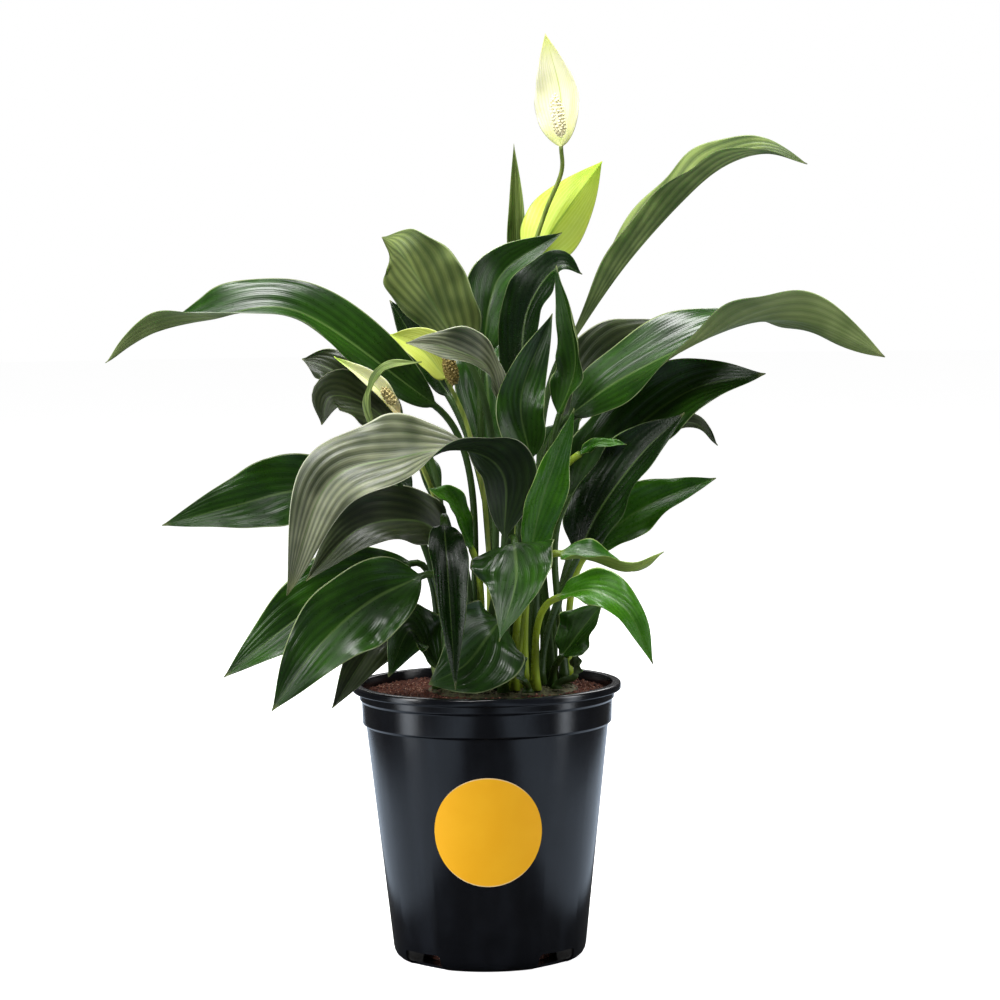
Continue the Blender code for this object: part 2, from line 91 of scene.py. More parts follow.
class Graph:
    """Adds nodes to a tree, feeds their inputs and joins them."""

    def __init__(self, tree: Tree) -> None:
        """Keeps the tree that the nodes go into."""
        self.tree = tree

    def node(self, kind: str, **settings: object) -> Node:
        """Adds one node.

        Args:
            kind: Blender's name for the node's type.
            settings: Properties to set on it.

        Returns:
            The new node.
        """
        made = self.tree.nodes.new(kind)
        for name, value in settings.items():
            setattr(made, name, value)
        return made

    def feed(self, socket: Socket, value: Value) -> None:
        """Links a socket to another one, or gives it a plain value.

        Args:
            socket: The input to feed.
            value: A socket to link, or a number or tuple to set.
        """
        if isinstance(value, Socket):
            self.tree.links.new(value, socket)
        else:
            socket.default_value = value

    def call(
        self, kind: str, inputs: dict[str | int, Value], output: str | int = 0, **settings: object
    ) -> Socket:
        """Adds a node, feeds it and hands back one output.

        Args:
            kind: Blender's name for the node's type.
            inputs: What goes into each input, by name or number.
            output: The output wanted.
            settings: Properties to set on the node.

        Returns:
            The output socket.
        """
        made = self.node(kind, **settings)
        for key, value in inputs.items():
            self.feed(made.inputs[key], value)
        return made.outputs[output]

    def math(self, operation: str, *values: Value, clamp: bool = False) -> Socket:
        """Adds a Math node.

        Args:
            operation: Its operation.
            values: Its inputs, in order.
            clamp: Whether the result is kept from 0 to 1.

        Returns:
            The result.
        """
        inputs = dict(enumerate(values))
        return self.call("ShaderNodeMath", inputs, operation=operation, use_clamp=clamp)

    def times(self, a: Value, b: Value) -> Socket:
        """One value times another."""
        return self.math("MULTIPLY", a, b)

    def split(self, vector: Socket) -> bpy.types.bpy_prop_collection:
        """The X, Y and Z of a vector."""
        return self.call("ShaderNodeSeparateXYZ", {0: vector}).node.outputs

    def attribute(self, name: str, output: str) -> Socket:
        """One output of a mesh attribute."""
        return self.node("ShaderNodeAttribute", attribute_name=name).outputs[output]

    def mix(self, share: Value, low: Value, high: Value) -> Socket:
        """Mixes two colours.

        Args:
            share: How much of the second, from 0 to 1.
            low: The first colour.
            high: The second colour.

        Returns:
            The mixed colour.
        """
        return self.call("ShaderNodeMix", {0: share, 6: low, 7: high}, 2, data_type="RGBA")

    def ease(self, value: Value, low: float, high: float, start: float = 0, end: float = 1) -> Socket:
        """Maps a stretch of values onto another one, smoothly and held at its ends.

        Args:
            value: What is mapped.
            low: Where the stretch starts.
            high: Where it ends.
            start: The result at its start.
            end: The result at its end.

        Returns:
            The mapped value.
        """
        inputs = {0: value, 1: low, 2: high, 3: start, 4: end}
        return self.call("ShaderNodeMapRange", inputs, interpolation_type="SMOOTHSTEP")

    def noise(self, vector: Value, scale: float, detail: float = 3, roughness: float = 0.5) -> Socket:
        """Adds a noise texture.

        Args:
            vector: Where it is read.
            scale: How fine it is.
            detail: How many finer layers it has.
            roughness: How strong those are.

        Returns:
            Its grey value.
        """
        inputs = {"Vector": vector, "Scale": scale, "Detail": detail, "Roughness": roughness}
        return self.call("ShaderNodeTexNoise", inputs, "Fac")

    def group(self, tree: Tree, **inputs: Value) -> bpy.types.bpy_prop_collection:
        """Places a shared node group.

        Args:
            tree: The group.
            inputs: What goes into its named inputs, with _ for a space.

        Returns:
            The group's outputs.
        """
        made = self.node("ShaderNodeGroup", node_tree=tree)
        for name, value in inputs.items():
            self.feed(made.inputs[name.replace("_", " ")], value)
        return made.outputs


def new_group(
    name: str, inputs: dict[str, str], outputs: dict[str, str], kind: str = "ShaderNodeTree"
) -> tuple[Graph, Node, Node]:
    """Starts a node group with named sockets.

    Args:
        name: Its name.
        inputs: Socket types by name.
        outputs: Socket types by name.
        kind: The kind of tree.

    Returns:
        The graph that builds it, its input node and its output node.
    """
    tree = bpy.data.node_groups.new(name, kind)
    for side, sockets in (("INPUT", inputs), ("OUTPUT", outputs)):
        for label, socket in sockets.items():
            tree.interface.new_socket(label, in_out=side, socket_type="NodeSocket" + socket)
    graph = Graph(tree)
    return graph, graph.node("NodeGroupInput"), graph.node("NodeGroupOutput")


class Surface:
    """A new material, with its graph, its shader and the place that its patterns are read at."""

    def __init__(self, name: str) -> None:
        """Starts the material.

        Args:
            name: Its name.
        """
        self.material = bpy.data.materials.new(name)
        self.material.use_nodes = True
        self.graph = Graph(self.material.node_tree)
        self.shader = self.material.node_tree.nodes["Principled BSDF"]
        self.place = self.graph.node("ShaderNodeTexCoord").outputs["Object"]

    def dress(self, **values: Value) -> Material:
        """Feeds the shader's sockets.

        Args:
            values: What goes into each, with _ for a space.

        Returns:
            The material.
        """
        for name, value in values.items():
            self.graph.feed(self.shader.inputs[name.replace("_", " ")], value)
        return self.material

    def coat(self, colour: Socket, rough: Socket, relief: Socket, bump: tuple[float, float]) -> None:
        """Feeds the shader's colour, roughness and normal.

        Args:
            colour: The base colour.
            rough: The roughness.
            relief: The height of the fine relief.
            bump: The relief's strength and depth.
        """
        height = {"Strength": bump[0], "Distance": bump[1], "Height": relief}
        self.dress(Base_Color=colour, Roughness=rough, Normal=self.graph.call("ShaderNodeBump", height))


def linked(name: str, data: bpy.types.ID) -> Object:
    """Puts a new object in the scene.

    Args:
        name: Its name.
        data: Its mesh, light or camera.

    Returns:
        The object.
    """
    obj = bpy.data.objects.new(name, data)
    bpy.context.scene.collection.objects.link(obj)
    return obj


def add_piece(name: str, mesh: Mesh, material: Material, slot: str, *nodes: str) -> None:
    """Puts a finished mesh in the scene as a piece of the object.

    Args:
        name: The piece's name.
        mesh: Its mesh, in place.
        material: Its material.
        slot: The record's material slot; not used.
        nodes: The CAD nodes that it stands for.
    """
    piece = linked(name, mesh)
    if not mesh.materials:
        mesh.materials.append(material)
    mesh.shade_smooth()
    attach(piece, BODY)
    if nodes:
        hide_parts(*nodes)
    LOG.info("%s: %d faces", name, len(mesh.polygons))


def baked_mesh(obj: Object) -> Mesh:
    """The mesh of an object with its modifiers applied, while the object is removed.

    Args:
        obj: A scratch object with live modifiers.

    Returns:
        A plain mesh.
    """
    graph = bpy.context.evaluated_depsgraph_get()
    mesh = bpy.data.meshes.new_from_object(obj.evaluated_get(graph), depsgraph=graph)
    bpy.data.objects.remove(obj)
    return mesh


def written(bm: bmesh.types.BMesh, mesh: Mesh) -> Mesh:
    """Writes worked geometry into a mesh and frees it.

    Args:
        bm: The geometry.
        mesh: What it goes into.

    Returns:
        The same mesh.
    """
    bm.to_mesh(mesh)
    bm.free()
    return mesh


def recalculate(mesh: Mesh) -> None:
    """Points all of a closed mesh's faces outwards.

    Args:
        mesh: The mesh.
    """
    bm = bmesh.new()
    bm.from_mesh(mesh)
    bmesh.ops.recalc_face_normals(bm, faces=bm.faces)
    written(bm, mesh)


def wall_faces(rows: int, columns: int) -> list[tuple[int, ...]]:
    """The faces between rows of points that each run round into their own start.

    Args:
        rows: How many rows.
        columns: How many points in each.

    Returns:
        Quads by point number.
    """
    faces = []
    for row in range(rows - 1):
        for k in range(columns):
            low, after = row * columns + k, row * columns + (k + 1) % columns
            faces.append((low, after, after + columns, low + columns))
    return faces


def tube_faces(rows: int, columns: int) -> list[tuple[int, ...]]:
    """The faces of a closed tube: its wall, and then its two caps."""
    last = (rows - 1) * columns
    return wall_faces(rows, columns) + [tuple(reversed(range(columns))), tuple(range(last, last + columns))]


def unit(vectors: np.ndarray) -> np.ndarray:
    """Vectors at length one."""
    return vectors / np.linalg.norm(vectors, axis=-1, keepdims=True)


def dot(a: np.ndarray, b: np.ndarray) -> np.ndarray:
    """Row by row dot products, kept as a column."""
    return (a * b).sum(-1, keepdims=True)


def frames(along: np.ndarray, hint: np.ndarray) -> tuple[np.ndarray, np.ndarray]:
    """The side nearest to a hint and the normal at each step of a path."""
    side = unit(hint - along * dot(along, hint))
    return side, np.cross(side, along)


def catmull(points: np.ndarray, t: np.ndarray) -> np.ndarray:
    """Points on the smooth curve through all the given ones.

    Args:
        points: The route's points.
        t: Places along it, from 0 to 1.

    Returns:
        One point for each place.
    """
    spans = len(points) - 1
    at = np.minimum((t * spans).astype(int), spans - 1)
    u = (t * spans - at)[:, None]
    padded = np.vstack([2 * points[0] - points[1], points, 2 * points[-1] - points[-2]])
    a, b, c, d = (padded[at + k] for k in range(4))
    cube = (3 * b - a - 3 * c + d) * u**3
    return b + ((c - a) * u + (2 * a - 5 * b + 4 * c - d) * u**2 + cube) / 2


def bezier(a: np.ndarray, b: np.ndarray, c: np.ndarray, d: np.ndarray, t: np.ndarray) -> np.ndarray:
    """Points on a cubic curve with the ends a and d.

    Args:
        a: Its start.
        b: The point that it leaves towards.
        c: The point that it arrives from.
        d: Its end.
        t: Places along it, from 0 to 1.

    Returns:
        One point for each place.
    """
    u, s = t[:, None], 1 - t[:, None]
    return a * s**3 + 3 * b * s * s * u + 3 * c * s * u * u + d * u**3


# ---------------------------------------------------------------- shared shader effects


def leaf_pattern_group() -> Tree:
    """Masks for a blade's ribs, hairlines, midrib, margin, tip and stalk.

    Returns:
        A group that reads the blade's own map: across, along and rib phase.
    """
    outputs = {name: "Float" for name in ("Rib", "Hair", "Margin", "Midrib", "Blade", "Tip")}
    graph, source, sink = new_group("leaf_pattern", {"Map": "Vector", "Hairs": "Float"}, outputs)
    across, along, phase = graph.split(source.outputs["Map"])
    across = graph.math("ABSOLUTE", across)
    wave = graph.math("SINE", graph.times(phase, math.tau))
    fine = graph.times(graph.times(phase, source.outputs["Hairs"]), math.tau)
    hair = graph.math("POWER", graph.math("MULTIPLY_ADD", graph.math("SINE", fine), 0.5, 0.5), 3)
    midrib_width = graph.math("MULTIPLY_ADD", along, -0.035, 0.055)
    results = {
        "Rib": graph.math("MULTIPLY_ADD", wave, 0.5, 0.5),
        "Hair": hair,
        "Margin": graph.ease(across, 0.955, 0.99),
        "Midrib": graph.ease(graph.math("DIVIDE", across, midrib_width), 0.4, 1.3, 1, 0),
        "Blade": graph.ease(along, -0.03, 0.05),
        "Tip": graph.ease(along, 0.955, 0.995),
    }
    for name, value in results.items():
        graph.feed(sink.inputs[name], value)
    return graph.tree


def mottle_group() -> Tree:
    """Broad and fine unevenness, each from 0 to 1.

    Returns:
        A group that reads the place it is given.
    """
    inputs = {"Vector": "Vector", "Broad Scale": "Float", "Fine Scale": "Float"}
    graph, source, sink = new_group("mottle", inputs, {"Broad": "Float", "Fine": "Float"})
    vector = source.outputs["Vector"]
    for name, detail in (("Broad", 2.0), ("Fine", 4.0)):
        value = graph.noise(vector, source.outputs[name + " Scale"], detail, 0.6)
        graph.feed(sink.inputs[name], graph.ease(value, 0.3, 0.7))
    return graph.tree


SPECK_PATCH_SCALE = 90.0


def speck_group() -> Tree:
    """Small scattered specks, such as dust or pale grit.

    Returns:
        A group that puts out 1 on a speck and 0 elsewhere.
    """
    inputs = {"Vector": "Vector", "Scale": "Float", "Cover": "Float"}
    graph, source, sink = new_group("specks", inputs, {"Specks": "Float"})
    vector = source.outputs["Vector"]
    cells = {"Vector": vector, "Scale": source.outputs["Scale"]}
    cell = graph.call("ShaderNodeTexVoronoi", cells, "Distance")
    patch = graph.noise(vector, SPECK_PATCH_SCALE, 2)
    reach = graph.times(graph.times(patch, patch), source.outputs["Cover"])
    graph.feed(sink.inputs["Specks"], graph.math("LESS_THAN", cell, reach))
    return graph.tree


@dataclass
class Effects:
    """The shared shader groups, each built once."""

    leaf: Tree = field(default_factory=leaf_pattern_group)
    mottle: Tree = field(default_factory=mottle_group)
    specks: Tree = field(default_factory=speck_group)


# ---------------------------------------------------------------- finishes


@dataclass(frozen=True)
class LeafFinish:
    """A leaf's living surface: glossy above, pale and matt below, with ribs, midrib and margin."""

    name: str
    upper: Colour
    upper_light: Colour
    under: Colour
    under_light: Colour
    gloss: float = 0.27
    under_roughness: float = 0.55
    rib_share: float = 0.3
    patch_share: float = 0.35
    hair_share: float = 0.07
    midrib: Colour = rgb(0.12, 0.2, 0.05)
    midrib_share: float = 0.35
    margin: Colour = rgb(0.3, 0.36, 0.17)
    margin_share: float = 0.7
    tip: Colour = rgb(0.13, 0.15, 0.05)
    tip_share: float = 0.7
    # The default stalk colour is a green darkened as painted shade for the stalks deep inside the clump; the
    # fresh tone gives its own paler stalk.
    stalk: Colour = rgb(0.03, 0.07, 0.008)
    stalk_streak: float = 0.6
    bump: tuple[float, float] = (0.35, 0.25 * MM)

    def build(self, effects: Effects) -> Material:
        """Builds the material.

        Args:
            effects: The shared shader groups.

        Returns:
            The material.
        """
        surface = Surface(self.name)
        graph = surface.graph
        faces = graph.attribute("leaf_upper", "Fac")
        marks = graph.group(effects.leaf, Map=graph.attribute("leaf_map", "Vector"), Hairs=4.0)
        uneven = graph.group(effects.mottle, Vector=surface.place, Broad_Scale=28.0, Fine_Scale=420.0)
        ribs = graph.times(marks["Rib"], graph.math("MULTIPLY_ADD", uneven["Broad"], 0.7, 0.3))
        patches = graph.times(uneven["Broad"], self.patch_share)
        tone = graph.math("MULTIPLY_ADD", ribs, self.rib_share, patches)
        tone = graph.math("MULTIPLY_ADD", marks["Hair"], self.hair_share, tone, clamp=True)
        upper = graph.mix(tone, self.upper, self.upper_light)
        under = graph.mix(tone, self.under, self.under_light)
        colour = graph.mix(faces, under, upper)
        colour = graph.mix(graph.times(marks["Midrib"], self.midrib_share), colour, self.midrib)
        colour = graph.mix(graph.times(marks["Margin"], self.margin_share), colour, self.margin)
        colour = graph.mix(graph.times(marks["Tip"], self.tip_share), colour, self.tip)
        streaked = graph.mix(uneven["Broad"], self.stalk, toned(self.stalk, self.stalk_streak))
        colour = graph.mix(marks["Blade"], streaked, colour)
        rough = graph.mix(faces, grey(self.under_roughness), grey(self.gloss))
        rough = graph.math("MULTIPLY_ADD", uneven["Fine"], 0.05, rough)
        relief = graph.math("MULTIPLY_ADD", uneven["Fine"], 0.12, graph.times(marks["Hair"], 0.5))
        surface.coat(colour, rough, relief, self.bump)
        return surface.dress(
            Subsurface_Weight=0.06, Subsurface_Radius=(0.4, 1.0, 0.1), Subsurface_Scale=1.2 * MM,
            Specular_IOR_Level=0.3,
        )


@dataclass(frozen=True)
class SpatheFinish:
    """A flower's hood: soft petal tissue with faint veins, greener at midrib, foot and tip."""

    name: str
    body: Colour
    vein: Colour
    midrib: Colour
    tip: Colour
    foot: Colour
    vein_share: float = 0.55
    patch_share: float = 0.3
    foot_share: float = 0.8
    foot_end: float = 0.3
    tip_start: float = 0.72
    midrib_share: float = 0.85
    roughness: float = 0.42
    bump: tuple[float, float] = (0.3, 0.2 * MM)

    def build(self, effects: Effects) -> Material:
        """Builds the material.

        Args:
            effects: The shared shader groups.

        Returns:
            The material.
        """
        surface = Surface(self.name)
        graph = surface.graph
        mapped = graph.attribute("leaf_map", "Vector")
        along = graph.split(mapped)[1]
        marks = graph.group(effects.leaf, Map=mapped, Hairs=3.0)
        uneven = graph.group(effects.mottle, Vector=surface.place, Broad_Scale=60.0, Fine_Scale=500.0)
        colour = graph.mix(graph.times(marks["Hair"], self.vein_share), self.body, self.vein)
        colour = graph.mix(graph.times(uneven["Broad"], self.patch_share), colour, self.vein)
        colour = graph.mix(graph.ease(along, 0.0, self.foot_end, self.foot_share, 0), colour, self.foot)
        colour = graph.mix(graph.ease(along, self.tip_start, 1.0), colour, self.tip)
        colour = graph.mix(graph.times(marks["Midrib"], self.midrib_share), colour, self.midrib)
        rough = graph.math("MULTIPLY_ADD", uneven["Fine"], 0.12, self.roughness)
        surface.coat(colour, rough, marks["Hair"], self.bump)
        return surface.dress(
            Subsurface_Weight=0.3, Subsurface_Radius=(1.0, 0.9, 0.4), Subsurface_Scale=2.5 * MM
        )


@dataclass(frozen=True)
class StalkFinish:
    """A flower stalk: smooth green with long darker streaks."""

    name: str
    light: Colour
    dark: Colour
    streak_stretch: float = 0.06
    roughness: float = 0.35
    bump: tuple[float, float] = (0.3, 0.2 * MM)

    def build(self, effects: Effects) -> Material:
        """Builds the material.

        Args:
            effects: The shared shader groups.

        Returns:
            The material.
        """
        surface = Surface(self.name)
        graph = surface.graph
        mapping = {"Vector": surface.place, "Scale": (1, 1, self.streak_stretch)}
        drawn = graph.call("ShaderNodeMapping", mapping)
        uneven = graph.group(effects.mottle, Vector=drawn, Broad_Scale=300.0, Fine_Scale=1800.0)
        colour = graph.mix(uneven["Broad"], self.light, self.dark)
        rough = graph.math("MULTIPLY_ADD", uneven["Fine"], 0.15, self.roughness)
        surface.coat(colour, rough, uneven["Fine"], self.bump)
        return surface.dress(Subsurface_Weight=0.1, Subsurface_Scale=2 * MM)


@dataclass(frozen=True)
class GritFinish:
    """Anything crumbly or knobbly: two tones by patch, with pale specks."""

    name: str
    dark: Colour
    light: Colour
    speck: Colour
    patch_scale: float
    speck_scale: float
    cover: float
    roughness: float = 0.85
    bump: tuple[float, float] = (0.7, 0.4 * MM)

    def build(self, effects: Effects) -> Material:
        """Builds the material.

        Args:
            effects: The shared shader groups.

        Returns:
            The material.
        """
        surface = Surface(self.name)
        graph, place = surface.graph, surface.place
        uneven = graph.group(effects.mottle, Vector=place, Broad_Scale=self.patch_scale, Fine_Scale=1500.0)
        specks = graph.group(effects.specks, Vector=place, Scale=self.speck_scale, Cover=self.cover)[0]
        colour = graph.mix(uneven["Broad"], self.dark, self.light)
        rough = graph.math("MULTIPLY_ADD", uneven["Fine"], 0.1, self.roughness)
        surface.coat(graph.mix(specks, colour, self.speck), rough, uneven["Fine"], self.bump)
        return surface.material


@dataclass(frozen=True)
class PlasticFinish:
    """Black moulded plastic: satin, with a fine grain, faint drawn streaks and a little dust."""

    name: str = "black_moulded_plastic"
    body: Colour = rgb(0.0025, 0.003, 0.0045)
    worn: Colour = rgb(0.007, 0.0085, 0.012)
    dust: Colour = rgb(0.05, 0.045, 0.04)
    dust_share: float = 0.5
    dust_cover: float = 0.25
    gloss: float = 0.14
    gloss_drift: float = 0.04
    streak_stretch: float = 0.05
    streak_relief: float = 1.5
    bump: tuple[float, float] = (0.08, 0.15 * MM)

    def build(self, effects: Effects) -> Material:
        """Builds the material.

        Args:
            effects: The shared shader groups.

        Returns:
            The material.
        """
        surface = Surface(self.name)
        graph, place = surface.graph, surface.place
        drawn = graph.call("ShaderNodeMapping", {"Vector": place, "Scale": (1, 1, self.streak_stretch)})
        uneven = graph.group(effects.mottle, Vector=place, Broad_Scale=35.0, Fine_Scale=2600.0)
        streaks = graph.group(effects.mottle, Vector=drawn, Broad_Scale=70.0, Fine_Scale=500.0)
        dust = graph.group(effects.specks, Vector=place, Scale=900.0, Cover=self.dust_cover)[0]
        colour = graph.mix(graph.times(uneven["Broad"], streaks["Broad"]), self.body, self.worn)
        colour = graph.mix(graph.times(dust, self.dust_share), colour, self.dust)
        rough = graph.math("MULTIPLY_ADD", streaks["Fine"], self.gloss_drift, self.gloss)
        rough = graph.math("MULTIPLY_ADD", uneven["Broad"], self.gloss_drift, rough)
        relief = graph.math("MULTIPLY_ADD", streaks["Broad"], self.streak_relief, uneven["Fine"])
        surface.coat(colour, rough, relief, self.bump)
        return surface.dress(Specular_IOR_Level=0.35)


@dataclass(frozen=True)
class StickerFinish:
    """A coated paper label in plain yellow, with a cut pale edge and faint handling marks."""

    name: str = "yellow_coated_paper"
    ink: Colour = rgb(0.82, 0.4, 0.006)
    pale_ink: Colour = rgb(0.86, 0.45, 0.012)
    paper: Colour = rgb(0.75, 0.66, 0.45)
    edge_width: float = 0.35 * MM
    edge_share: float = 0.6
    roughness: float = 0.42
    bump: tuple[float, float] = (0.12, 0.1 * MM)

    def build(self, effects: Effects, middle: Vector, radius: float) -> Material:
        """Builds the material.

        Args:
            effects: The shared shader groups.
            middle: The label's middle.
            radius: The label's radius.

        Returns:
            The material.
        """
        surface = Surface(self.name)
        graph, place = surface.graph, surface.place
        mapping = {"Vector": place, "Location": (0, 0, -middle.z), "Scale": (1, 0, 1)}
        flat = graph.call("ShaderNodeMapping", mapping)
        out = graph.call("ShaderNodeVectorMath", {0: flat}, "Value", operation="LENGTH")
        uneven = graph.group(effects.mottle, Vector=place, Broad_Scale=45.0, Fine_Scale=1500.0)
        colour = graph.mix(graph.times(uneven["Broad"], 0.5), self.ink, self.pale_ink)
        inner, outer = radius - 2 * self.edge_width, radius - self.edge_width
        colour = graph.mix(graph.ease(out, inner, outer, 0, self.edge_share), colour, self.paper)
        rough = graph.math("MULTIPLY_ADD", uneven["Fine"], 0.12, self.roughness)
        surface.coat(colour, rough, uneven["Fine"], self.bump)
        return surface.dress(Specular_IOR_Level=0.25)


class LeafTone(Enum):
    """How a leaf looks in its place in the plant. The darkest tone is painted shade, and the sheen tone
    carries a painted reflection and painted shade.
    """

    DEEP = "deep"
    SHEEN = "sheen"
    OLIVE = "olive"
    PALE = "pale"
    DUSK = "dusk"
    FRESH = "fresh"
    DARK = "dark"


LEAF_FINISHES = {
    LeafTone.DEEP: LeafFinish(
        "deep_green_leaf", rgb(0.004, 0.017, 0.001), rgb(0.024, 0.082, 0.005), rgb(0.07, 0.11, 0.025),
        rgb(0.26, 0.32, 0.12),
    ),
    # Sheen tone: its pale grey upper_light, laid along the ribs, is a painted reflection of the overhead
    # softbox, and its under colours, darker than the upper, are painted shade on undersides turned away from
    # the light.
    LeafTone.SHEEN: LeafFinish(
        "silvery_green_leaf", rgb(0.016, 0.025, 0.008), rgb(0.17, 0.185, 0.11), rgb(0.003, 0.011, 0.001),
        rgb(0.012, 0.03, 0.004), gloss=0.4, rib_share=0.75, margin=rgb(0.5, 0.52, 0.38),
    ),
    LeafTone.OLIVE: LeafFinish(
        "olive_green_leaf", rgb(0.012, 0.032, 0.003), rgb(0.055, 0.1, 0.014), rgb(0.03, 0.055, 0.008),
        rgb(0.18, 0.23, 0.06), gloss=0.42, rib_share=0.65,
    ),
    LeafTone.PALE: LeafFinish(
        "pale_backed_leaf", rgb(0.03, 0.06, 0.008), rgb(0.21, 0.28, 0.07), rgb(0.05, 0.09, 0.015),
        rgb(0.25, 0.33, 0.1), gloss=0.45, rib_share=0.75,
    ),
    LeafTone.DUSK: LeafFinish(
        "dusky_green_leaf", rgb(0.006, 0.013, 0.002), rgb(0.045, 0.06, 0.022), rgb(0.05, 0.08, 0.02),
        rgb(0.17, 0.19, 0.1), gloss=0.38, rib_share=0.45, margin=rgb(0.36, 0.38, 0.25),
    ),
    LeafTone.FRESH: LeafFinish(
        "fresh_green_leaf", rgb(0.01, 0.055, 0.001), rgb(0.055, 0.19, 0.005), rgb(0.12, 0.2, 0.025),
        rgb(0.32, 0.42, 0.1), gloss=0.26, stalk=rgb(0.3, 0.42, 0.03), margin=rgb(0.35, 0.45, 0.15),
    ),
    # The darkest tone is painted shade: a deep green made darker still for leaves lying in the shadow of
    # others.
    LeafTone.DARK: LeafFinish(
        "dark_green_leaf", rgb(0.0015, 0.007, 0.0005), rgb(0.006, 0.026, 0.001), rgb(0.03, 0.055, 0.012),
        rgb(0.09, 0.13, 0.05), gloss=0.26, margin=rgb(0.14, 0.2, 0.08),
    ),
}


# ---------------------------------------------------------------- leaves and hoods


@dataclass(frozen=True)
class BladeStyle:
    """How a blade's surface is worked, apart from its route and outline."""

    start_radius: float = 2.1 * MM
    thickness: float = 0.5 * MM
    tip_half_width: float = 0.3 * MM
    ribs: float = 4.5
    rib_drift: float = 3.5
    rib_height: float = 0.32 * MM
    margin_wave: float = 0.11
    waves: float = 2.2
    edge_wander: float = 0.07
    wander_waves: tuple[float, float] = (9, 17)
    wave_rise: float = 2.4
    buckle: float = 1.6 * MM
    buckle_waves: tuple[float, float] = (7, 11)
    hood: float = 0.0
    midrib_height: float = 0.9 * MM
    midrib_width: float = 1.3 * MM
    groove_share: float = 0.25
    sheath_flare: float = 0.9


@dataclass(frozen=True)
class Blade:
    """A route with a lance-shaped outline.

    The spine runs from the neck to the tip, in millimetres above the crown. fold is how far each half
    is raised and turn the roll at neck and tip, in degrees. belly is where along it is widest.
    """

    name: str
    width: float
    fold: float
    turn: tuple[float, float]
    spine: tuple[Point, ...]
    tone: LeafTone = LeafTone.DEEP
    belly: float = 0.4
    relief: float = 1.0


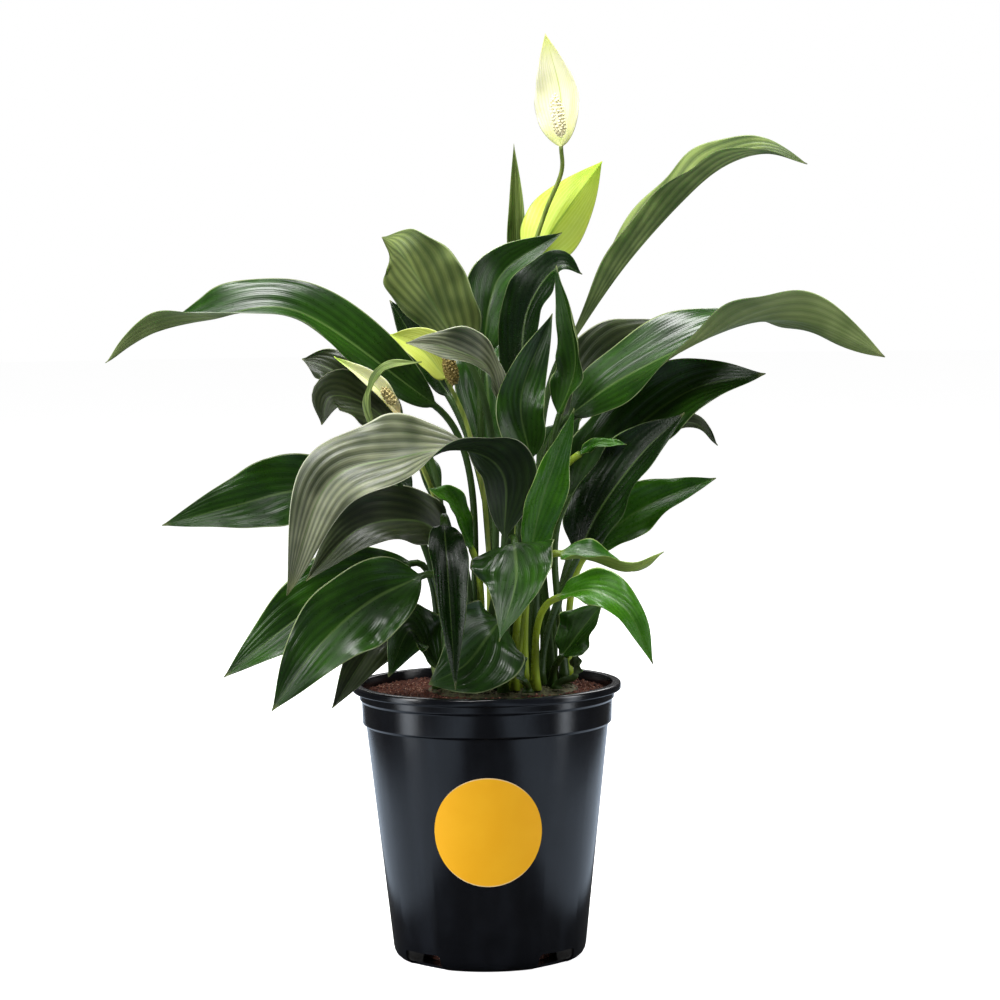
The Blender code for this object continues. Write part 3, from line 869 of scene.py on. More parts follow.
@dataclass
class BladeLoft:
    """Lofts a stalk and blade as one closed skin, and maps it for its material."""

    origin_z: float
    style: BladeStyle
    outline_fullness: float = 1.8
    neck_share: float = 0.06
    fold_softness: float = 0.02
    ring_step: float = 2.4 * MM
    ring_limits: tuple[int, int] = (26, 110)
    ring_crowding: float = 1.25
    stalk_step: float = 6 * MM
    fewest_stalk_rings: int = 8
    sheath_share: float = 0.1
    rim_power: int = 6

    def place(self, points: tuple[Point, ...]) -> np.ndarray:
        """Points above the crown as positions in the frame."""
        return np.array(points) * MM + np.array((0, 0, self.origin_z))

    def stalk(self, foot: np.ndarray, neck: np.ndarray, toward: np.ndarray) -> np.ndarray:
        """The stalk's route, up out of the crown and into the line of what it carries.

        Args:
            foot: Where it stands.
            neck: Where it ends.
            toward: The direction that it ends in.

        Returns:
            Points that stop one step before the neck.
        """
        reach = np.linalg.norm(neck - foot)
        count = max(self.fewest_stalk_rings, int(reach / self.stalk_step))
        rise = foot + np.array((0, 0, reach * 0.4))
        return bezier(foot, rise, neck - toward * reach * 0.25, neck, np.arange(count) / count)

    def outline(self, s: np.ndarray, belly: float) -> np.ndarray:
        """The blade's half width along it, from 0 to 1 at the belly."""
        rise = np.clip(s / belly, 0, None) ** (self.outline_fullness * belly)
        return rise * np.clip((1 - s) / (1 - belly), 0, None) ** (self.outline_fullness * (1 - belly))

    def build(self, blade: Blade, foot: np.ndarray | None, seed: int) -> Mesh:
        """Makes the mesh.

        Args:
            blade: The route and outline.
            foot: Where the stalk stands, or None for a blade with no stalk.
            seed: Sets the place of its waves.

        Returns:
            A closed mesh with the attributes leaf_map and leaf_upper.
        """
        style = self.style
        random = np.random.default_rng(seed)
        spine = self.place(blade.spine)
        reach = np.linalg.norm(np.diff(catmull(spine, np.linspace(0, 1, 40)), axis=0), axis=1).sum()
        rings = int(np.clip(reach / self.ring_step, *self.ring_limits))
        s = np.linspace(0, 1, rings + 1) ** self.ring_crowding
        path, share = catmull(spine, s), np.zeros(0)
        if foot is not None:
            toward = unit(catmull(spine, np.array([0.05]))[0] - spine[0])
            stalk = self.stalk(foot, spine[0], toward)
            share = np.arange(len(stalk)) / len(stalk)
            path = np.vstack([stalk, path])
        along = unit(np.gradient(path, axis=0))
        if foot is not None:
            along[0] = (0, 0, 1)
        s = np.concatenate([np.zeros(len(share)), s])[:, None]
        heading = spine[-1] - spine[0]
        hint = unit(np.array((heading[1], -heading[0], 0.0)))
        side, normal = frames(along, hint)
        roll = np.radians(blade.turn[0] + (blade.turn[1] - blade.turn[0]) * s)
        side = side * np.cos(roll) + normal * np.sin(roll)
        normal = np.cross(side, along)

        shrink = np.exp(-s / self.neck_share)
        opened = 1 - shrink
        flare = np.ones((len(path), 1))
        flare[: len(share), 0] += style.sheath_flare * np.exp(-share / self.sheath_share)
        radius = style.start_radius * flare
        widest = blade.width * MM / 2
        half = np.maximum(radius * shrink, style.tip_half_width)
        half = np.maximum(widest * self.outline(s, blade.belly), half)
        drift = random.uniform(0, 2 * np.pi, 6)

        columns = 2 * int(np.clip(blade.width, 12, 64))
        angle = np.pi - np.arange(columns) * 2 * np.pi / columns
        upper = np.sign(np.round(np.sin(angle), 9))
        flat = 1 - 2 * np.abs(angle) / np.pi
        across = np.cos(angle) * shrink + flat * opened
        slow, quick = style.wander_waves
        wander = np.sin(slow * s + drift[0] + (flat > 0) * drift[1])
        wander = wander + 0.6 * np.sin(quick * s + drift[2] * (flat > 0))
        half = half * (1 + style.edge_wander * blade.relief * wander * opened * (1 - s))
        rim = np.sqrt(np.clip(1 - flat**self.rim_power, 0, 1)) * upper
        skin = np.sin(angle) * shrink * radius + rim * opened * style.thickness / 2
        away = np.abs(across)
        fold = np.radians(blade.fold) * opened
        crease = np.sqrt(across**2 + self.fold_softness) - math.sqrt(self.fold_softness)
        lift = half * np.sin(fold) * crease + style.hood * half * opened * across**2

        phase = style.ribs * away**0.85 - style.rib_drift * s + random.uniform()
        edge_fade = np.clip((away - 0.05) / 0.15, 0, 1) * (1 - away**8)
        size = half / widest
        uneven = 0.65 + 0.35 * np.sin(5 * s + 6 * across + drift[3])
        ribs = style.rib_height * blade.relief * uneven * np.sin(2 * np.pi * phase)
        ribs = ribs * edge_fade * opened * size
        slow, quick = style.buckle_waves
        swell = np.sin(slow * s + 3.1 * across + drift[4])
        swell = swell + 0.7 * np.sin(quick * s - 4.3 * across + drift[5])
        ribs = ribs + style.buckle * blade.relief * swell * opened * size * away
        swing = random.uniform(0, 2 * np.pi, 4)
        turn = 2 * np.pi * style.waves * s + swing[0] + (across > 0) * swing[1]
        wave = np.sin(turn) + 0.5 * np.sin(turn * 1.9 + swing[2])
        ribs = ribs + style.margin_wave * blade.relief * half * away**style.wave_rise * wave * opened
        under_rib = np.exp(-((across * half / style.midrib_width) ** 2)) * (1 - s) * opened
        under_rib = under_rib * style.midrib_height
        groove = np.where(upper > 0, -style.groove_share * under_rib, -under_rib)

        height = skin + lift + ribs + groove
        points = path[:, None] + side[:, None] * (half * across * np.cos(fold))[:, :, None]
        points = points + normal[:, None] * height[:, :, None]
        place = np.concatenate([share - 1, s[len(share):, 0]])[:, None] + 0 * across
        mapped = np.stack([across + 0 * s, place, phase], axis=-1)
        return self.mesh(blade.name, points, mapped, columns)

    def mesh(self, name: str, points: np.ndarray, mapped: np.ndarray, columns: int) -> Mesh:
        """Turns the lofted points into a mesh.

        Args:
            name: The mesh's name.
            points: Positions by ring and column.
            mapped: The blade's own map at the same points.
            columns: How many points each ring has.

        Returns:
            The mesh with its attributes.
        """
        faces = tube_faces(len(points), columns)
        made = bpy.data.meshes.new(name)
        made.from_pydata(points.reshape(-1, 3), [], faces)
        upper = np.zeros(len(faces), np.float32)
        upper[:-2] = np.tile(np.arange(columns) < columns // 2, len(points) - 1)
        made.attributes.new("leaf_map", "FLOAT_VECTOR", "POINT").data.foreach_set("vector", mapped.ravel())
        made.attributes.new("leaf_upper", "FLOAT", "FACE").data.foreach_set("value", upper)
        return made


def leaf(
    name: str, width: float, fold: float, turn: tuple[float, float], *spine: Point,
    tone: LeafTone = LeafTone.DEEP, belly: float = 0.4, relief: float = 1.0,
) -> Blade:
    """One row of the foliage.

    Args:
        name: The leaf's name.
        width: Its widest place, in millimetres.
        fold: How far each half is raised, in degrees.
        turn: The roll at neck and tip, in degrees.
        spine: Its route from neck to tip.
        tone: Its finish.
        belly: Where along it is widest.
        relief: How strong its ribs and waves are.

    Returns:
        The blade.
    """
    return Blade(name, width, fold, turn, spine, tone, belly, relief)


FOLIAGE = (
    leaf(
        "left_reach", 50, 28, (75, -60),
        (-30, 0, 172), (-110, -15, 230), (-165, -25, 227), (-202, -33, 218), (-226, -40, 202), belly=0.33,
    ),
    leaf(
        "left_low_long", 46, 20, (70, 70),
        (-55, 8, 117), (-110, 0, 121), (-150, -6, 113), (-196, -20, 102),
    ),
    leaf(
        "left_upper", 34, 25, (55, 55),
        (-50, 25, 162), (-90, 28, 191), (-112, 30, 200), tone=LeafTone.DUSK,
    ),
    leaf(
        "left_hooked", 34, 20, (60, 60),
        (-48, -10, 152), (-70, -14, 173), (-92, -18, 179), (-98, -20, 162), tone=LeafTone.DUSK,
    ),
    leaf(
        "upper_left", 54, 22, (-65, -75),
        (-9, -15, 200), (-31, -22, 238), (-47, -26, 264), (-60, -14, 275),
        tone=LeafTone.OLIVE, relief=1.2,
    ),
    leaf(
        "upper_middle", 42, 35, (-65, -60),
        (0, 14, 201), (5, 22, 234), (16, 30, 255), (50, 38, 276), relief=0.4,
    ),
    leaf(
        "rolled", 24, 60, (0, 0),
        (21, 82, 217), (22, 84, 260), (22, 86, 295), (21, 88, 332), tone=LeafTone.PALE,
    ),
    leaf(
        "right_arch", 46, 50, (-5, -35),
        (54, 46, 208), (88, 38, 255), (122, 28, 293), (148, 20, 315), (174, 10, 323), (199, 2, 316),
        tone=LeafTone.PALE,
    ),
    leaf(
        "dark_curl", 38, 30, (-75, -40),
        (24, -6, 165), (25, -8, 217), (34, -10, 242), (48, -12, 256), (61, -12, 251),
        tone=LeafTone.DARK, belly=0.35,
    ),
    leaf("tall_right", 30, 30, (-140, -140), (46, -34, 167), (56, -36, 202), (45, -38, 257)),
    leaf("front_upright", 34, 30, (-130, -130), (28, -46, 142), (23, -51, 180), (42, -58, 229)),
    leaf(
        "front_hook", 30, 25, (55, 60),
        (12, -38, 173), (2, -54, 198), (-22, -68, 210), (-45, -72, 213), tone=LeafTone.SHEEN,
    ),
    leaf(
        "front_arch", 62, 20, (-60, 85),
        (12, -46, 95), (12, -58, 133), (-9, -70, 149), (-49, -86, 146), (-91, -104, 132), (-115, -119, 69),
        tone=LeafTone.SHEEN, belly=0.48, relief=1.3,
    ),
    leaf(
        "left_low", 44, 25, (60, 55),
        (-22, -28, 92), (-42, -43, 105), (-75, -62, 102), (-106, -78, 73), tone=LeafTone.DUSK,
    ),
    leaf("left_drop", 52, 20, (70, 60), (-38, -78, 75), (-69, -90, 61), (-98, -104, 37), (-125, -116, 1)),
    leaf(
        "left_drop_back", 48, 20, (65, 65),
        (-45, -20, 77), (-85, -38, 65), (-118, -50, 44), (-157, -62, 14),
    ),
    leaf(
        "left_small", 32, 25, (65, 55),
        (-48, -38, 37), (-66, -54, 33), (-92, -72, -4), tone=LeafTone.DUSK,
    ),
    leaf("rim_curl", 44, 20, (60, 60), (-30, -46, 9), (-36, -56, 29), (-46, -66, 41), (-58, -76, 15)),
    leaf(
        "front_hanging", 30, 40, (0, 0),
        (-24, -70, 105), (-22, -86, 80), (-18, -100, 10), tone=LeafTone.DARK,
    ),
    leaf("front_low", 54, 15, (70, 70), (8, -54, 45), (1, -66, 37), (-13, -74, 21), (-34, -82, 11)),
    leaf("front_tongue", 54, 15, (0, 0), (18, -76, 93), (18, -92, 71), (8, -106, 39), belly=0.22),
    leaf(
        "front_bright", 28, 25, (-130, -130),
        (26, -62, 83), (36, -66, 123), (54, -70, 173), tone=LeafTone.FRESH,
    ),
    leaf(
        "right_small", 26, 30, (-45, 60),
        (46, -52, 85), (64, -62, 82), (86, -72, 76), (106, -80, 88), tone=LeafTone.FRESH, belly=0.32,
    ),
    leaf(
        "right_bent", 28, 30, (-45, -45),
        (44, -72, 61), (63, -83, 66), (84, -94, 54), (98, -102, 24), tone=LeafTone.FRESH,
    ),
    leaf("right_round", 34, 20, (-60, -60), (46, -34, 21), (56, -38, 35), (70, -44, 53), belly=0.45),
    leaf(
        "right_big", 46, 20, (-65, -60),
        (56, -18, 79), (70, -26, 109), (95, -36, 143), (121, -42, 168), tone=LeafTone.DARK,
    ),
    leaf(
        "right_thin", 36, 25, (-60, -55),
        (65, 10, 81), (95, 12, 105), (143, 16, 124), tone=LeafTone.FRESH,
    ),
    leaf(
        "right_back_curl", 18, 25, (-50, -50),
        (71, 40, 110), (106, 44, 151), (131, 46, 156), (146, 48, 142), tone=LeafTone.DUSK,
    ),
    leaf(
        "right_middle", 54, 20, (-60, -60),
        (52, -4, 114), (83, -8, 149), (126, -16, 180), (171, -24, 190),
    ),
    leaf(
        "right_reach", 62, 22, (-80, 78),
        (52, -14, 165), (83, -20, 187), (130, -26, 210), (166, -32, 222), (200, -38, 220), (241, -44, 200),
        belly=0.45,
    ),
    leaf(
        "right_behind", 44, 25, (-60, -60),
        (50, 14, 160), (66, 18, 190), (95, 22, 208), (128, 26, 213), tone=LeafTone.DUSK,
    ),
    leaf(
        "right_sliver", 9, 20, (-50, -50),
        (58, -28, 143), (70, -33, 150), (86, -38, 149), tone=LeafTone.FRESH,
    ),
    leaf(
        "thin_curl", 11, 20, (-50, -50),
        (-58, -46, 145), (-68, -52, 176), (-60, -56, 197), (-36, -58, 201), tone=LeafTone.PALE,
    ),
    leaf("behind_left", 30, 25, (50, 50), (-22, 50, 175), (-58, 58, 235), tone=LeafTone.DARK),
    leaf("behind_low_left", 32, 25, (50, 50), (-46, 40, 115), (-92, 54, 145), tone=LeafTone.DARK),
    leaf(
        "inner_left", 22, 25, (40, 40),
        (-8, -19, 85), (-20, -22, 113), (-34, -24, 123), tone=LeafTone.FRESH,
    ),
    leaf("sprout_right", 11, 30, (0, 0), (54, -30, 9), (53, -31, 23), tone=LeafTone.DARK),
    leaf("sprout_front", 18, 30, (60, 60), (22, -52, 9), (16, -57, 18), (11, -59, 27)),
    leaf("back_left", 46, 25, (-30, -30), (-30, 60, 105), (-55, 84, 153), (-82, 118, 160)),
    leaf("back_middle", 48, 25, (0, 0), (4, 72, 125), (2, 92, 185), (-4, 126, 219)),
    leaf("back_right", 48, 25, (30, 30), (40, 64, 105), (60, 90, 155), (86, 124, 173)),
    leaf("back_low_left", 36, 25, (-30, -30), (-20, 56, 51), (-38, 82, 95), (-58, 114, 99)),
    leaf("back_low_right", 44, 25, (30, 30), (30, 62, 51), (46, 92, 103), (62, 128, 113)),
)


def foot_of(node: str, level: float, reach: float = 60 * MM) -> np.ndarray:
    """Where a stalk stands on the crown, read from its CAD node.

    Args:
        node: The CAD node.
        level: The height of the crown's top.
        reach: How far from the pot's axis a foot may be.

    Returns:
        The middle of the node's points at that level.
    """
    points = np.array([v.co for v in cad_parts[node].data.vertices])
    near = np.abs(points[:, 2] - level) < LEVEL_TOLERANCE
    near &= np.hypot(points[:, 0], points[:, 1]) < reach
    standing = np.unique(np.round(points[near], 5), axis=0)
    return standing.mean(0)


@dataclass
class Foliage:
    """All the leaves, each a stalk and blade grown as one."""

    effects: Effects
    level: float
    style: BladeStyle = BladeStyle()

    def build(self) -> None:
        """Makes every leaf and dresses it."""
        finishes = {tone: finish.build(self.effects) for tone, finish in LEAF_FINISHES.items()}
        loft = BladeLoft(self.level, self.style)
        for number, blade in enumerate(FOLIAGE):
            node = "leaf_" + blade.name
            mesh = loft.build(blade, foot_of(node, self.level), number)
            add_piece(blade.name + "_leaf", mesh, finishes[blade.tone], "leaf", node)


# ---------------------------------------------------------------- scattered detail


GRAIN_DENSITY = 1e7
GRAIN_NOISE_SCALE = 900.0


def scatter_tree() -> Tree:
    """Scatters small rounded grains over a surface.

    Returns:
        A tree with inputs for the grains' spacing, size, shape, roughness and seed.
    """
    inputs = {
        "Geometry": "Geometry", "Pitch": "Float", "Size": "Float", "Flattest": "Vector", "Fullest": "Vector",
        "Roughen": "Float", "Tumble": "Float", "Seed": "Int", "Detail": "Int", "Keep Host": "Bool",
        "Finish": "Material",
    }
    graph, source, sink = new_group("scatter_grains", inputs, {"Geometry": "Geometry"}, "GeometryNodeTree")
    given = source.outputs
    places = {
        "Mesh": given["Geometry"], "Distance Min": given["Pitch"], "Density Max": GRAIN_DENSITY,
        "Seed": given["Seed"],
    }
    spread = graph.call("GeometryNodeDistributePointsOnFaces", places, distribute_method="POISSON")
    ball = {"Radius": given["Size"], "Subdivisions": given["Detail"]}
    grain = graph.call("GeometryNodeMeshIcoSphere", ball, "Mesh")
    lumps = graph.call("ShaderNodeTexNoise", {"Scale": GRAIN_NOISE_SCALE, "Detail": 1.0}, "Color")
    centred = graph.call("ShaderNodeVectorMath", {0: lumps, 1: (0.5, 0.5, 0.5)}, operation="SUBTRACT")
    push = graph.call("ShaderNodeVectorMath", {0: centred, "Scale": given["Roughen"]}, operation="SCALE")
    grain = graph.call("GeometryNodeSetPosition", {"Geometry": grain, "Offset": push})
    limits = {0: given["Flattest"], 1: given["Fullest"], "Seed": given["Seed"]}
    scale = graph.call("FunctionNodeRandomValue", limits, data_type="FLOAT_VECTOR")
    tilt = graph.call("FunctionNodeRandomValue", {"Seed": given["Seed"]}, data_type="FLOAT_VECTOR")
    turn = graph.call("ShaderNodeVectorMath", {0: tilt, "Scale": given["Tumble"]}, operation="SCALE")
    spin = graph.call("FunctionNodeEulerToRotation", {0: turn})
    turned_by = graph.call("FunctionNodeRotateRotation", {0: spread.node.outputs["Rotation"], 1: spin})
    copies = {"Points": spread, "Instance": grain, "Rotation": turned_by, "Scale": scale}
    placed = graph.call("GeometryNodeInstanceOnPoints", copies)
    grains = graph.call("GeometryNodeRealizeInstances", {0: placed})
    kept = {"Switch": given["Keep Host"], "True": given["Geometry"]}
    host = graph.call("GeometryNodeSwitch", kept, input_type="GEOMETRY")
    joined = graph.node("GeometryNodeJoinGeometry")
    graph.feed(joined.inputs[0], grains)
    graph.feed(joined.inputs[0], host)
    dressed = {"Geometry": joined.outputs[0], "Material": given["Finish"]}
    graph.feed(sink.inputs[0], graph.call("GeometryNodeSetMaterial", dressed))
    return graph.tree


@dataclass
class Grains:
    """Small grains over a host surface, as a plain mesh."""

    tree: Tree

    def build(self, host: Mesh, **values: object) -> Mesh:
        """Scatters the grains.

        Args:
            host: The surface that they lie on.
            values: The tree's inputs, with _ for a space.

        Returns:
            The grains, with the host if Keep_Host is set.
        """
        obj = linked("grains", host)
        modifier = obj.modifiers.new("Grains", "NODES")
        modifier.node_group = self.tree
        for item in self.tree.interface.items_tree:
            name = item.name.replace(" ", "_")
            if item.in_out == "INPUT" and name in values:
                modifier[item.identifier] = values[name]
        return baked_mesh(obj)


# ---------------------------------------------------------------- flowers


class FlowerColour(Enum):
    """The hoods' colours, from a ripe white one to a young green one."""

    CREAM = "cream"
    LIME = "lime"
    CHARTREUSE = "chartreuse"
    IVORY = "ivory"


HOODS = {
    FlowerColour.CREAM: SpatheFinish(
        "cream_hood", body=rgb(0.78, 0.76, 0.55), vein=rgb(0.6, 0.64, 0.28), midrib=rgb(0.42, 0.5, 0.12),
        tip=rgb(0.6, 0.66, 0.2), foot=rgb(0.52, 0.58, 0.18),
    ),
    FlowerColour.LIME: SpatheFinish(
        "lime_hood", body=rgb(0.42, 0.58, 0.035), vein=rgb(0.56, 0.7, 0.13), midrib=rgb(0.22, 0.36, 0.02),
        tip=rgb(0.36, 0.58, 0.02), foot=rgb(0.34, 0.5, 0.025),
    ),
    FlowerColour.CHARTREUSE: SpatheFinish(
        "chartreuse_hood", body=rgb(0.34, 0.4, 0.045), vein=rgb(0.44, 0.5, 0.12),
        midrib=rgb(0.24, 0.32, 0.04), tip=rgb(0.36, 0.46, 0.05), foot=rgb(0.3, 0.34, 0.05),
    ),
    FlowerColour.IVORY: SpatheFinish(
        "ivory_hood", body=rgb(0.7, 0.68, 0.42), vein=rgb(0.45, 0.55, 0.16), midrib=rgb(0.32, 0.42, 0.08),
        tip=rgb(0.35, 0.55, 0.05), foot=rgb(0.72, 0.55, 0.28),
    ),
}


@dataclass(frozen=True)
class Flower:
    """A flower's rows: its stalk's top, its hood and the two ends of its spike."""

    hood: Blade
    colour: FlowerColour
    stalk: tuple[Point, ...]
    spike: tuple[Point, Point]
    spike_tone: Colour


FLOWERS = (
    Flower(
        leaf("top", 32, 20, (90, 90), (50, 42, 329), (50, 46, 362), (41, 46, 399)),
        FlowerColour.CREAM,
        ((29, 51, 257), (40, 50, 289), (50, 45, 313), (50, 42, 328)),
        ((50, 33, 335), (46, 33, 361)),
        rgb(1.0, 0.93, 0.58),
    ),
    Flower(
        leaf("lime", 42, 20, (90, 90), (31, 62, 258), (50, 64, 285), (76, 66, 320)),
        FlowerColour.LIME,
        ((26, 58, 195), (31, 62, 257)),
        ((36, 74, 265), (48, 76, 281)),
        rgb(0.5, 0.62, 0.12),
    ),
    Flower(
        leaf("side", 30, 20, (60, 60), (-22, -36, 190), (-36, -40, 207), (-55, -44, 217)),
        FlowerColour.CHARTREUSE,
        ((-3, -26, 132), (-11, -31, 165), (-20, -36, 187)),
        ((-17, -46, 187), (-22, -48, 208)),
        rgb(0.3, 0.22, 0.05),
    ),
    Flower(
        leaf("narrow", 14, 30, (60, 60), (-50, -34, 168), (-66, -37, 187), (-89, -40, 204)),
        FlowerColour.IVORY,
        ((-34, -16, 127), (-50, -34, 167)),
        ((-53, -41, 175), (-60, -44, 185)),
        rgb(0.6, 0.5, 0.2),
    ),
)


@dataclass
class FlowerHeads:
    """The four flowers, each with a stalk, a hood and a beaded spike."""

    effects: Effects
    level: float
    grains: Grains
    stalk_radius: float = 1.6 * MM
    stalk_sides: int = 16
    stalk_steps: int = 30
    stalk_flare: float = 0.5
    stalk_taper: float = 0.2
    ridge: float = 0.04
    ridges: int = 5
    hood_ring_step: float = 1.2 * MM
    first_hood_seed: int = 100
    spike_radius: float = 3.6 * MM
    spike_stoutness: float = 0.22
    spike_taper: float = 0.18
    spike_rings: int = 18
    spike_sides: int = 24
    bead_pitch: float = 1.7 * MM
    bead_radius: float = 0.95 * MM
    style: BladeStyle = BladeStyle(
        start_radius=1.2 * MM, ribs=3.0, rib_drift=1.5, rib_height=0.12 * MM, margin_wave=0.05, waves=1.7,
        hood=0.16, midrib_height=0.5 * MM, sheath_flare=0, edge_wander=0.03, buckle=0.6 * MM,
    )

    def build(self) -> None:
        """Makes the flowers and dresses them."""
        green = StalkFinish("flower_stalk", rgb(0.27, 0.34, 0.05), rgb(0.11, 0.17, 0.02)).build(self.effects)
        loft = BladeLoft(self.level, self.style, ring_step=self.hood_ring_step)
        for number, flower in enumerate(FLOWERS):
            name = flower.hood.name
            node = "flower_" + name
            add_piece(name + "_stalk", self.stalk_mesh(flower, loft), green, "stalk", node + "_stalk")
            finish = HOODS[flower.colour].build(self.effects)
            hood = loft.build(flower.hood, None, self.first_hood_seed + number)
            add_piece(name + "_hood", hood, finish, "spathe", node + "_spathe")
            add_piece(name + "_spike", self.spike_mesh(flower, number), green, "spadix", node + "_spadix")

    def stalk_mesh(self, flower: Flower, loft: BladeLoft) -> Mesh:
        """A faintly ridged tube from the crown to the hood's foot.

        Args:
            flower: The flower's rows.
            loft: Gives the stalk's route.

        Returns:
            The closed tube.
        """
        route = loft.place(flower.stalk[:-1] + flower.hood.spine[:1])
        foot = foot_of("flower_%s_stalk" % flower.hood.name, self.level)
        toward = unit(catmull(route, np.array([0.05]))[0] - route[0])
        top = catmull(route, np.linspace(0, 1, self.stalk_steps))
        path = np.vstack([loft.stalk(foot, route[0], toward), top])
        along = unit(np.gradient(path, axis=0))
        along[0] = (0, 0, 1)
        side, normal = frames(along, np.array((0.0, 1.0, 0.0)))
        angle = np.arange(self.stalk_sides) * 2 * np.pi / self.stalk_sides
        share = np.linspace(0, 1, len(path))[:, None]
        radius = 1 + self.stalk_flare * np.exp(-share / 0.08) - self.stalk_taper * share
        radius = self.stalk_radius * radius * (1 + self.ridge * np.cos(self.ridges * angle))
        out = side[:, None] * (radius * np.cos(-angle))[:, :, None]
        out = out + normal[:, None] * (radius * np.sin(-angle))[:, :, None]
        mesh = bpy.data.meshes.new("stalk")
        points = (path[:, None] + out).reshape(-1, 3)
        mesh.from_pydata(points, [], tube_faces(len(path), self.stalk_sides))
        return mesh

    def spike_mesh(self, flower: Flower, number: int) -> Mesh:
        """The spike: a tapered core covered in small beads.

        Args:
            flower: The flower's rows.
            number: The seed of the beads' places.

        Returns:
            The beaded spike.
        """
        foot, tip = (Vector(p) * MM + Vector((0, 0, self.level)) for p in flower.spike)
        axis = tip - foot
        radius = min(self.spike_radius, axis.length * self.spike_stoutness)
        profile = []
        for ring in range(self.spike_rings + 1):
            angle = math.pi * ring / self.spike_rings
            taper = 1 - self.spike_taper * math.cos(angle)
            profile.append((radius * taper * math.sin(angle), axis.length / 2 * math.cos(angle)))
        host = baked_mesh(turned("spike_turning", profile, self.spike_sides))
        turn = axis.to_track_quat("Z", "Y").to_matrix().to_4x4()
        host.transform(Matrix.Translation((foot + tip) / 2) @ turn)
        tone = flower.spike_tone
        finish = GritFinish(
            flower.hood.name + "_beads", toned(tone, 0.85), tone, toned(tone, 1.25, 0.15),
            patch_scale=700.0, speck_scale=1100.0, cover=1.0, roughness=0.6,
        )
        return self.grains.build(
            host, Pitch=self.bead_pitch, Size=self.bead_radius, Flattest=(0.9, 0.9, 0.8),
            Fullest=(1.1, 1.1, 1.3), Roughen=0.0, Tumble=0.3, Seed=number, Detail=2, Keep_Host=True,
            Finish=finish.build(self.effects),
        )


# ---------------------------------------------------------------- pot, label, soil, crown


def filleted(corners: list[tuple[float, float, float]], steps: int = 5) -> Profile:
    """Rounds the corners of a turned profile.

    Args:
        corners: Radius, height and rounding of each corner.
        steps: Points in each rounding.

    Returns:
        The profile's points.
    """
    points = []
    for i, (r, z, rounding) in enumerate(corners):
        here = Vector((r, z))
        if not rounding or i in (0, len(corners) - 1):
            points.append((r, z))
            continue
        before = Vector(corners[i - 1][:2]) - here
        after = Vector(corners[i + 1][:2]) - here
        reach = min(rounding, before.length * 0.49, after.length * 0.49)
        start, end = here + before.normalized() * reach, here + after.normalized() * reach
        for step in range(steps + 1):
            t = step / steps
            spot = start * (1 - t) ** 2 + here * (2 * t * (1 - t)) + end * t * t
            points.append((spot.x, spot.y))
    return points


def turned(name: str, profile: Profile, steps: int) -> Object:
    """A turned solid from a profile that starts and ends on the axis.

    Args:
        name: The object's name.
        profile: Radius and height of its points.
        steps: How many steps it is turned in.

    Returns:
        A scratch object with the live modifier.
    """
    mesh = bpy.data.meshes.new(name)
    edges = [(i, i + 1) for i in range(len(profile) - 1)]
    mesh.from_pydata([(r, 0, z) for r, z in profile], edges, [])
    obj = linked(name, mesh)
    screw = obj.modifiers.new("Turn", "SCREW")
    screw.steps = screw.render_steps = steps
    screw.use_merge_vertices = True
    screw.merge_threshold = 0.01 * MM
    return obj


